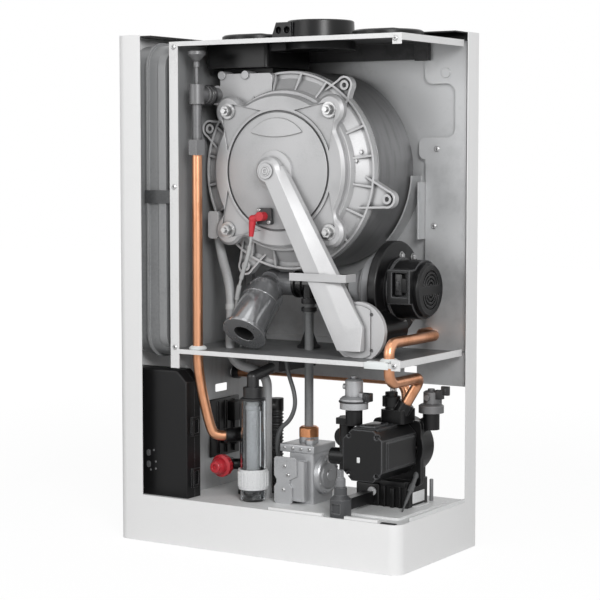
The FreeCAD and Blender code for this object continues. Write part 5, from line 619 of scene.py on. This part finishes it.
def swept(name, route, radius, kind="NURBS"):
    """Mesh of a round line on one smooth curve; with no radius, the points that the curve runs through."""
    curve = bpy.data.curves.new(name, "CURVE")
    curve.dimensions = "3D"
    curve.resolution_u = CURVE_STEPS
    curve.bevel_depth = radius * MM
    curve.bevel_resolution = TUBE_STEPS
    curve.use_fill_caps = True
    line = curve.splines.new(kind)
    line.points.add(len(route) - 1)
    for point, spot in zip(line.points, route):
        point.co = (*(Vector(spot) * MM), 1.0)
    line.order_u = 3
    line.use_endpoint_u = True
    holder = bpy.data.objects.new(name + "_line", curve)
    bpy.context.scene.collection.objects.link(holder)
    graph = bpy.context.evaluated_depsgraph_get()
    mesh = bpy.data.meshes.new_from_object(holder.evaluated_get(graph))
    bpy.data.objects.remove(holder)
    mesh.name = name
    mesh.shade_smooth()
    return mesh


def along_line(route, low, high):
    """Points of a line's curve between two levels."""
    spots = [vert.co / MM for vert in swept("line_points", route, 0).vertices]
    return [spot for spot in spots if low <= spot.z <= high]


def corrugated_tree():
    """A tube with rounded ribs: a finely divided cylinder pushed out and in along its length."""
    tree, given = new_tree("corrugated_tube", CORRUGATED_INPUTS)
    tube = add_node(tree, "GeometryNodeMeshCylinder", {"Vertices": ROUND_SEGMENTS},
                    {"Radius": given["Groove Radius"], "Depth": given["Length"],
                     "Side Segments": given["Steps"]})
    spot = add_node(tree, "GeometryNodeInputPosition")
    parts = add_node(tree, "ShaderNodeSeparateXYZ", None, {"Vector": spot.outputs["Position"]})
    ribs = add_node(tree, "ShaderNodeMath", {"operation": "DIVIDE"},
                    {0: parts.outputs["Z"], 1: given["Rib Pitch"]})
    turns = add_node(tree, "ShaderNodeMath", {"operation": "MULTIPLY", 1: 2 * math.pi},
                     {0: ribs.outputs["Value"]})
    wave = add_node(tree, "ShaderNodeMath", {"operation": "SINE"}, {0: turns.outputs["Value"]})
    swell = add_node(tree, "ShaderNodeMapRange", {"From Min": -WAVE_CUT, "From Max": WAVE_CUT},
                     {"Value": wave.outputs["Value"]})
    rise = add_node(tree, "ShaderNodeMath", {"operation": "MULTIPLY"},
                    {0: swell.outputs["Result"], 1: given["Rib Height"]})
    grow = add_node(tree, "ShaderNodeMath", {"operation": "DIVIDE"},
                    {0: rise.outputs["Value"], 1: given["Groove Radius"]})
    across = add_node(tree, "ShaderNodeCombineXYZ", None, {"X": parts.outputs["X"], "Y": parts.outputs["Y"]})
    push = add_node(tree, "ShaderNodeVectorMath", {"operation": "SCALE"},
                    {0: across.outputs["Vector"], "Scale": grow.outputs["Value"]})
    ribbed = add_node(tree, "GeometryNodeSetPosition", None,
                      {"Geometry": tube.outputs["Mesh"], "Offset": push.outputs["Vector"]})
    return end_tree(tree, given, {"Instance": ribbed.outputs["Geometry"]})


def add_line(name, route, radius, material, stands_for):
    """Round line on its route, in place of its plain solid."""
    add_piece(name, swept(name, route, radius), material, stands_for=(stands_for,))


def add_sleeve(name, route, low, high, radius):
    """Pale sleeve round a line, between two levels."""
    add_piece(name, swept(name, along_line(route, low, high), radius, "POLY"), pale_silicone)


def add_corrugated_hose():
    """Black ribbed hose behind the trap, in place of its plain solid."""
    length = CORRUGATED_TOP - CORRUGATED_FOOT
    values = {"Groove Radius": GROOVE_RADIUS * MM, "Rib Height": RIB_HEIGHT * MM, "Rib Pitch": RIB_PITCH * MM,
              "Length": length * MM, "Steps": STEPS_PER_RIB * int(length / RIB_PITCH), "Facing": UP,
              "Finish": black_hose}
    middle = (*CORRUGATED_AXIS, (CORRUGATED_FOOT + CORRUGATED_TOP) / 2)
    mesh = fill_tree("corrugated_hose", corrugated_tree(), [middle], values)
    add_piece("corrugated_hose", mesh, black_hose, stands_for=("ribbed_hose",))


def add_lines():
    """The flow pipe, the hoses and the leads, with the bands and sleeves on them."""
    add_line("flow_tube", FLOW_ROUTE, 7.5, copper, "flow_pipe")
    add_line("condensate_tube", HOSE_ROUTE, 7.0, grey_hose, "condensate_hose")
    add_sleeve("hose_band", HOSE_ROUTE, low=340, high=352, radius=8.0)
    add_line("ignition_wire", LEAD_ROUTE, 2.0, pale_silicone, "ignition_lead")
    add_sleeve("upper_sleeve", LEAD_ROUTE, low=388, high=440, radius=3.2)
    add_sleeve("lower_sleeve", LEAD_ROUTE, low=357, high=380, radius=3.4)
    add_line("sensor_wire", CABLE_ROUTE, 3.2, cable_sheath, "sensor_cable")
    add_corrugated_hose()


# Small fittings: a turned piece has (radius, height) pairs and a place, a boxed one the corners of its boxes

def add_turned(name, profile, place, axis, material, body="boiler"):
    """Piece turned from one profile round an axis."""
    bm = bmesh.new()
    turned(bm, profile, place, axis)
    add_piece(name, mesh_from(bm, name), material, body)


def add_block(name, boxes, edge, material):
    """Piece of one or more rounded boxes, each given by its two corners."""
    bm = bmesh.new()
    for low, high in boxes:
        block(bm, low, high, edge)
    add_piece(name, mesh_from(bm, name), material)


def disc(radius, height, edge):
    """Profile of a flat disc with a rounded rim."""
    return ((0, 0), (radius, 0), (radius, height - edge), (radius - 0.3 * edge, height - 0.3 * edge),
            (radius - edge, height), (0, height))


def ring(inner, outer, height, edge):
    """Profile of a round band with softened corners."""
    return ((inner, 0), (outer - edge, 0), (outer, edge), (outer, height - edge), (outer - edge, height),
            (inner, height), (inner, 0))


# Pump: its lamp, its stepped lid with two ribs, and the end, ribs and bracket of its foot.
PUMP_LAMP = (((152.6, -196.3, 142.6), (157.4, -194.6, 150.4)),)
PUMP_LID = (((141, -187, 186), (181, -131, 190.6)), ((148, -181, 190), (172, -140, 193.4)),
            ((144, -184, 190), (147, -134, 192)), ((174, -184, 190), (177, -134, 192)))
FOOT_END = (((108, -122, 69), (146, -104, 102)), ((112, -119, 100), (140, -106, 109)))
FOOT_PLUG_PLACE = (135, -122, 90)
FOOT_RIBS = (((152, -121, 68), (155, -117, 101)), ((164, -122.5, 68), (170, -117, 97)),
             ((177, -121, 68), (180, -117, 101)), ((147, -121.5, 99), (188, -112, 107)))
FOOT_BRACKET = (((190.1, -104, 74), (191.8, -70, 90)), ((190.1, -104, 69.2), (199, -70, 70.6)))
# Sensor probe: it leans from the pump's side down to the tray.
PROBE = ((0, 0), (4, 0), (4, 12), (3.2, 13), (3.2, 26), (4.4, 27), (4.4, 38), (2.6, 40), (2.2, 58),
         (1.4, 60), (1.2, 74), (0, 74))
PROBE_TOP, PROBE_TIP = Vector((192, -90, 120)), Vector((197, -146, 70))
# Diverter actuator and flow switch: their plugs, and the clip round the actuator's neck.
ACTUATOR_PLUG = (((147, -172, 224), (157, -158, 236)), ((150, -175, 227), (154, -171, 233)))
ACTUATOR_NECK = (130, -165, 222)
SWITCH_PLUG = (((214, -86, 223), (226, -76, 236)), ((224, -84, 229), (236, -78, 242)),
               ((229, -86.5, 232), (232, -75.5, 238)))
# Pins beside the pump: a drain pin on the tray and a vent pin on the housing.
DRAIN_PIN_PLACE = (190, -46, 69)
VENT_PIN = ((0, 0), (3.4, 0), (3.4, 20), (4.6, 21), (4.6, 27), (3.4, 29), (0, 29))
VENT_PIN_PLACE = (153.5, -94, 209)


def add_pump_fittings():
    """Lamp, lid, foot and probe of the pump, and the plugs, clip and pins round it."""
    add_block("pump_lamp", PUMP_LAMP, 0.8, lamp_lens)
    add_block("foot_end", FOOT_END, 3.0, black_nylon)
    add_turned("foot_plug", disc(radius=6.6, height=2.4, edge=0.8), FOOT_PLUG_PLACE, FRONT,
               milky_polypropylene)
    add_block("actuator_plug", ACTUATOR_PLUG, 1.0, dark_polypropylene)
    add_turned("actuator_clip", ring(inner=19.0, outer=21.6, height=2.6, edge=0.5), ACTUATOR_NECK, UP,
               dark_polypropylene)
    add_turned("sensor_probe", PROBE, PROBE_TOP, PROBE_TIP - PROBE_TOP, cable_sheath)
    add_block("pump_lid", PUMP_LID, 1.2, pump_nylon)
    add_block("foot_bracket", FOOT_BRACKET, 0.5, tray_coat)
    add_block("foot_ribs", FOOT_RIBS, 0.8, black_nylon)
    add_turned("drain_pin", disc(radius=2.8, height=32, edge=0.8), DRAIN_PIN_PLACE, UP, gas_paint)
    add_turned("vent_pin", VENT_PIN, VENT_PIN_PLACE, UP, zinc_plate)
    add_block("switch_plug", SWITCH_PLUG, 0.8, dark_polypropylene)


# Gas valve: its round side cover with a grooved flange, and its lid with an end stop.
VALVE_COVER = ((0, 0), (28, 0), (28, 6.5), (26.5, COVER_FLANGE), (22, COVER_FLANGE), (21, 7.9),
               (20, COVER_FLANGE), (18.4, 10.2), (9, 10.8), (8.2, 12.2), (0, 12.2))
VALVE_LID = (((-2, LID_FRONT, 139.5), (56, -92, 151)), ((-5, -146, 141), (-1, -98, 149)))
# Safety valve's knob: its hollow hub.
KNOB_HUB = ((4.0, 0), (8.4, 0), (8.4, 2.2), (7.4, 3.0), (4.6, 3.0), (4.0, 2.2), (4.0, 0))


def add_valve_fittings():
    """Cover and lid of the gas valve."""
    add_turned("valve_cover", VALVE_COVER, VALVE_COVER_PLACE, RIGHT, die_cast)
    add_block("valve_lid", VALVE_LID, 1.2, die_cast)


def add_knob_fittings():
    """Hollow hub on the front of the safety valve's knob, turning with it."""
    low, high = (corner / MM for corner in map(Vector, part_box("safety_valve_knob")))
    middle = (low + high) / 2
    add_turned("knob_hub", KNOB_HUB, (middle.x, low.y, middle.z), FRONT, red_polyamide,
               "safety_knob")


# Chamber: the cable gland in its floor, clips on the gas pipe, a band on the header's tee, the rail's clip,
# and the vessel's copper stub with its collar under the floor.
CABLE_GLAND = ((0, 0), (17, 0), (17, 3), (13, 6), (7, 22), (4.5, 33), (3, 34), (3, 60), (0, 60))
CABLE_GLAND_PLACE = (13, -97, 286)
GAS_PIPE_AXIS = (29, -122)
PIPE_CLIPS = (("pipe_clip_low", 342, 6), ("pipe_clip_high", 353, 8))
TEE_BAND_PLACE = (-114, -164, 654)
RAIL_CLIP = (((176, -217.5, 277.5), (213, -215.1, 286.8)), ((180, -217.5, 286), (209, -208, 288)))
VESSEL_STUB = ((0, 0), (6.5, 0), (6.5, 36), (5.5, 36), (5.5, 30), (0, 30))
VESSEL_STUB_PLACE = (-148, -56, 236)
STUB_COLLAR_PLACE = (-147.6, -56, 236)


def add_chamber_fittings():
    """Gland, clips, bands and the vessel's stub in and under the chamber."""
    add_turned("cable_gland", CABLE_GLAND, CABLE_GLAND_PLACE, UP, black_hose)
    for name, level, height in PIPE_CLIPS:
        add_turned(name, ring(inner=9.2, outer=11.4, height=height, edge=0.8), (*GAS_PIPE_AXIS, level), UP,
                   dark_polypropylene)
    add_turned("tee_band", ring(inner=11.2, outer=14.6, height=7, edge=0.8), TEE_BAND_PLACE, FRONT,
               dark_polypropylene)
    add_block("rail_clip", RAIL_CLIP, 0.7, milky_silicone)
    add_turned("vessel_stub", VESSEL_STUB, VESSEL_STUB_PLACE, RIGHT, copper)
    add_turned("stub_collar", ring(inner=6.7, outer=9.6, height=11, edge=1.0), STUB_COLLAR_PLACE, RIGHT,
               dark_polypropylene)


def add_group_plate():
    """Black mounting plate of the valve group on the left panel, with ribs, a terminal box and two bosses."""
    wall = surface("left_panel", (0, -90, 150), -RIGHT).x
    bm = bmesh.new()
    block(bm, (wall, -122, 112), (wall + 3.4, -46, 200), edge=1.2)
    for y in (-104, -84, -64):
        block(bm, (wall + 2, y, 116), (wall + 7, y + 2.4, 196), edge=0.8)
    block(bm, (wall + 2, -80, 164), (wall + 18, -50, 194), edge=1.6)
    turned(bm, disc(radius=9, height=12, edge=1.5), (wall + 3, -93, 140), RIGHT)
    turned(bm, disc(radius=6, height=16, edge=1.0), (wall + 3, -73, 134), RIGHT)
    add_piece("group_plate", mesh_from(bm, "group_plate"), black_nylon)


# Silencer: the top of its axis, which leans forward at half a right angle, and the way down from there.
SILENCER_CROWN = Vector((-37, -123, 381))
SILENCER_WAY = Vector((0, -math.sqrt(0.5), -math.sqrt(0.5)))
SILENCER_FOAM = ((0, 42), (15.2, 42), (15.2, 96.4), (14.2, 97.4), (13.2, 96.4), (12.2, 44), (0, 44))
SEAM_DOWN = 36


def add_intake_fittings():
    """Foam in the silencer's mouth and the weld seam round its body."""
    add_turned("silencer_foam", SILENCER_FOAM, SILENCER_CROWN, SILENCER_WAY, acoustic_foam)
    add_turned("silencer_seam", ring(inner=28.2, outer=29.0, height=1.6, edge=0.4),
               SILENCER_CROWN + SEAM_DOWN * SILENCER_WAY, SILENCER_WAY, silencer_lacquer)


# Mixing duct and fan: the grooved plug on the duct's boss, and the plug and latch on the fan's motor.
DUCT_PLUG = ((2.6, 0), (7.4, 0), (7.4, 1.0), (6.8, 1.8), (5.6, 1.8), (5.2, 1.2), (4.8, 1.8), (3.0, 1.8),
             (2.6, 1.4), (2.6, 0))
DUCT_PLUG_PLACE = (4.3, -199.5, 544.5)
FAN_PLUG = (((177, -134, 372), (188, -127, 402)), ((180, -137, 378), (185, -133, 392)))
FAN_LATCH = (((188.5, -136.5, 376), (197, -127, 396)),)


def add_fan_fittings():
    """Test plug on the duct's boss, and the plug and latch of the fan."""
    add_turned("duct_plug", DUCT_PLUG, DUCT_PLUG_PLACE, FRONT, duct_aluminium)
    add_block("fan_plug", FAN_PLUG, 0.8, dark_polypropylene)
    add_block("fan_latch", FAN_LATCH, 1.0, black_abs)


# Trap and tray: the tube that dips into the trap's cup, and the lip along the tray's front with its insert.
DIP_TUBE = ((0, 0), (8.4, 0), (9.6, 1), (9.6, 100), (10.8, 101), (10.8, 106), (9.6, 107), (9.6, 112),
            (8.4, 113), (0, 113))
DIP_TUBE_PLACE = (-38, -168, 99)
TRAY_LIP = (((26, -226.4, 67), (114, -219.4, 72.6)), ((150, -226.4, 67), (203, -219.4, 72.6)))
INSERT_HEIGHT = 4
# Control box: its indicator lamps, across and up.
LAMP_SPOTS = ((-184.4, 133.3), (-180.9, 116.5), (-181, 106), (-190.2, 103.7))
LAMP_SEGMENTS = 16


def add_trap_and_box_fittings():
    """Dip tube of the trap, lip and insert of the tray, and lamps of the control box."""
    add_turned("dip_tube", DIP_TUBE, DIP_TUBE_PLACE, UP, milky_polypropylene)
    add_block("tray_lip", TRAY_LIP, 0.6, white_coat)
    rim = surface("base_tray", (220, -223, 300), -UP).z
    add_block("corner_insert", [((207, -226, rim), (230, -219.5, rim + INSERT_HEIGHT))], 0.8, black_abs)
    bm = bmesh.new()
    for x, z in LAMP_SPOTS:
        turned(bm, disc(radius=1.6, height=0.8, edge=0.3), surface("control_cover", (x, -400, z), -FRONT),
               FRONT, LAMP_SEGMENTS)
    add_piece("indicator_lamps", mesh_from(bm, "indicator_lamps"), lamp_window)


# Light, floor and camera, in metres

WHITE = (1, 1, 1, 1)
# Light of the sky on the object, against 1 where the sky itself is seen.
SKY_LIGHT = 0.30
FLOOR_REACH = 6.0
FLOOR_LEVEL = -0.0005
FLOOR_GREY = (0.9, 0.9, 0.9, 1)
# White of the floor where it is seen: its strength near the object and far off, where it meets the sky.
NEAR_REACH, FAR_REACH = 0.7, 2.5
NEAR_STRENGTH, FAR_STRENGTH = 1.04, 1.115
# Share of that white; the rest is the matt floor, which keeps the shadow.
FLOOR_WHITE = 0.9
# Lamps: name, place, size and power in watts, all turned to the middle of the boiler.
LAMPS = (("key", (1.94, -2.15, 1.45), 1.0, 50.0), ("fill", (-1.2, -2.6, 1.1), 1.4, 11.0),
         ("top", (0.3, -0.9, 2.4), 1.0, 3.0))
LAMP_TARGET = Vector((0.0, -0.1, 0.4))
CAMERA_PLACE = (1.3936, -2.3144, 0.5652)
CAMERA_DOWN, CAMERA_ROUND = 4.58, 32.19
CAMERA_LENS, CAMERA_SENSOR = 107.6, 36.0
CAMERA_REACH = 50.0


def seen_share(tree, *rays):
    """1 for the kinds of ray that show the studio, and 0 for those that only light the object."""
    path = add_node(tree, "ShaderNodeLightPath")
    share = path.outputs[rays[0]]
    for ray in rays[1:]:
        most = add_node(tree, "ShaderNodeMath", {"operation": "MAXIMUM"}, {0: share, 1: path.outputs[ray]})
        share = most.outputs["Value"]
    return share


def build_sky():
    """White background where it is seen, and a soft even light on the object."""
    world = bpy.data.worlds.new("studio")
    bpy.context.scene.world = world
    world.use_nodes = True
    tree = world.node_tree
    tree.nodes.clear()
    seen = seen_share(tree, "Is Camera Ray", "Is Transmission Ray", "Is Glossy Ray")
    level = add_node(tree, "ShaderNodeMapRange", {"To Min": SKY_LIGHT, "To Max": 1.0}, {"Value": seen})
    sky = add_node(tree, "ShaderNodeBackground", {"Color": WHITE}, {"Strength": level.outputs["Result"]})
    add_node(tree, "ShaderNodeOutputWorld", None, {"Surface": sky.outputs["Background"]})


def floor_material():
    """Studio floor: white to the camera, with a soft shadow kept under the object."""
    material = bpy.data.materials.new("studio_white")
    material.use_nodes = True
    tree = material.node_tree
    tree.nodes.clear()
    seen = seen_share(tree, "Is Camera Ray", "Is Transmission Ray")
    matt = add_node(tree, "ShaderNodeBsdfDiffuse", {"Color": FLOOR_GREY})
    place = add_node(tree, "ShaderNodeTexCoord")
    away = add_node(tree, "ShaderNodeVectorMath", {"operation": "LENGTH"}, {0: place.outputs["Object"]})
    level = add_node(tree, "ShaderNodeMapRange",
                     {"From Min": NEAR_REACH, "From Max": FAR_REACH, "To Min": NEAR_STRENGTH,
                      "To Max": FAR_STRENGTH}, {"Value": away.outputs["Value"]})
    bright = add_node(tree, "ShaderNodeEmission", {"Color": WHITE}, {"Strength": level.outputs["Result"]})
    share = add_node(tree, "ShaderNodeMapRange", {"To Min": 0.0, "To Max": FLOOR_WHITE}, {"Value": seen})
    mix = add_node(tree, "ShaderNodeMixShader", None,
                   {0: share.outputs["Result"], 1: matt.outputs["BSDF"], 2: bright.outputs["Emission"]})
    add_node(tree, "ShaderNodeOutputMaterial", None, {"Surface": mix.outputs["Shader"]})
    return material


def build_floor():
    """Plain pale floor just under the boiler."""
    mesh = bpy.data.meshes.new("studio_floor")
    reach = FLOOR_REACH
    sides = ((-reach, -reach), (reach, -reach), (reach, reach), (-reach, reach))
    corners = [(x, y, FLOOR_LEVEL) for x, y in sides]
    mesh.from_pydata(corners, [], [(0, 1, 2, 3)])
    mesh.materials.append(floor_material())
    floor = bpy.data.objects.new("studio_floor", mesh)
    bpy.context.scene.collection.objects.link(floor)


def build_lamps():
    """Soft round lamps: one from the right, one from the left and one above."""
    for name, place, size, power in LAMPS:
        light = bpy.data.lights.new(name, "AREA")
        light.shape = "DISK"
        light.size = size
        light.energy = power
        holder = bpy.data.objects.new(name, light)
        holder.location = place
        holder.rotation_euler = (LAMP_TARGET - Vector(place)).to_track_quat("-Z", "Y").to_euler()
        bpy.context.scene.collection.objects.link(holder)


def build_camera():
    """Camera at the photograph's viewing angle."""
    camera = bpy.data.cameras.new("photo_camera")
    camera.lens = CAMERA_LENS
    camera.sensor_width = CAMERA_SENSOR
    camera.clip_end = CAMERA_REACH
    eye = bpy.data.objects.new("photo_camera", camera)
    eye.location = CAMERA_PLACE
    eye.rotation_euler = (math.radians(90 - CAMERA_DOWN), 0.0, math.radians(CAMERA_ROUND))
    bpy.context.scene.collection.objects.link(eye)
    bpy.context.scene.camera = eye


finish_nodes()
add_fasteners()
add_lines()
add_pump_fittings()
add_valve_fittings()
add_knob_fittings()
add_chamber_fittings()
add_group_plate()
add_intake_fittings()
add_fan_fittings()
add_trap_and_box_fittings()

bpy.context.scene.view_settings.view_transform = "Standard"
build_sky()
build_floor()
build_lamps()
build_camera()
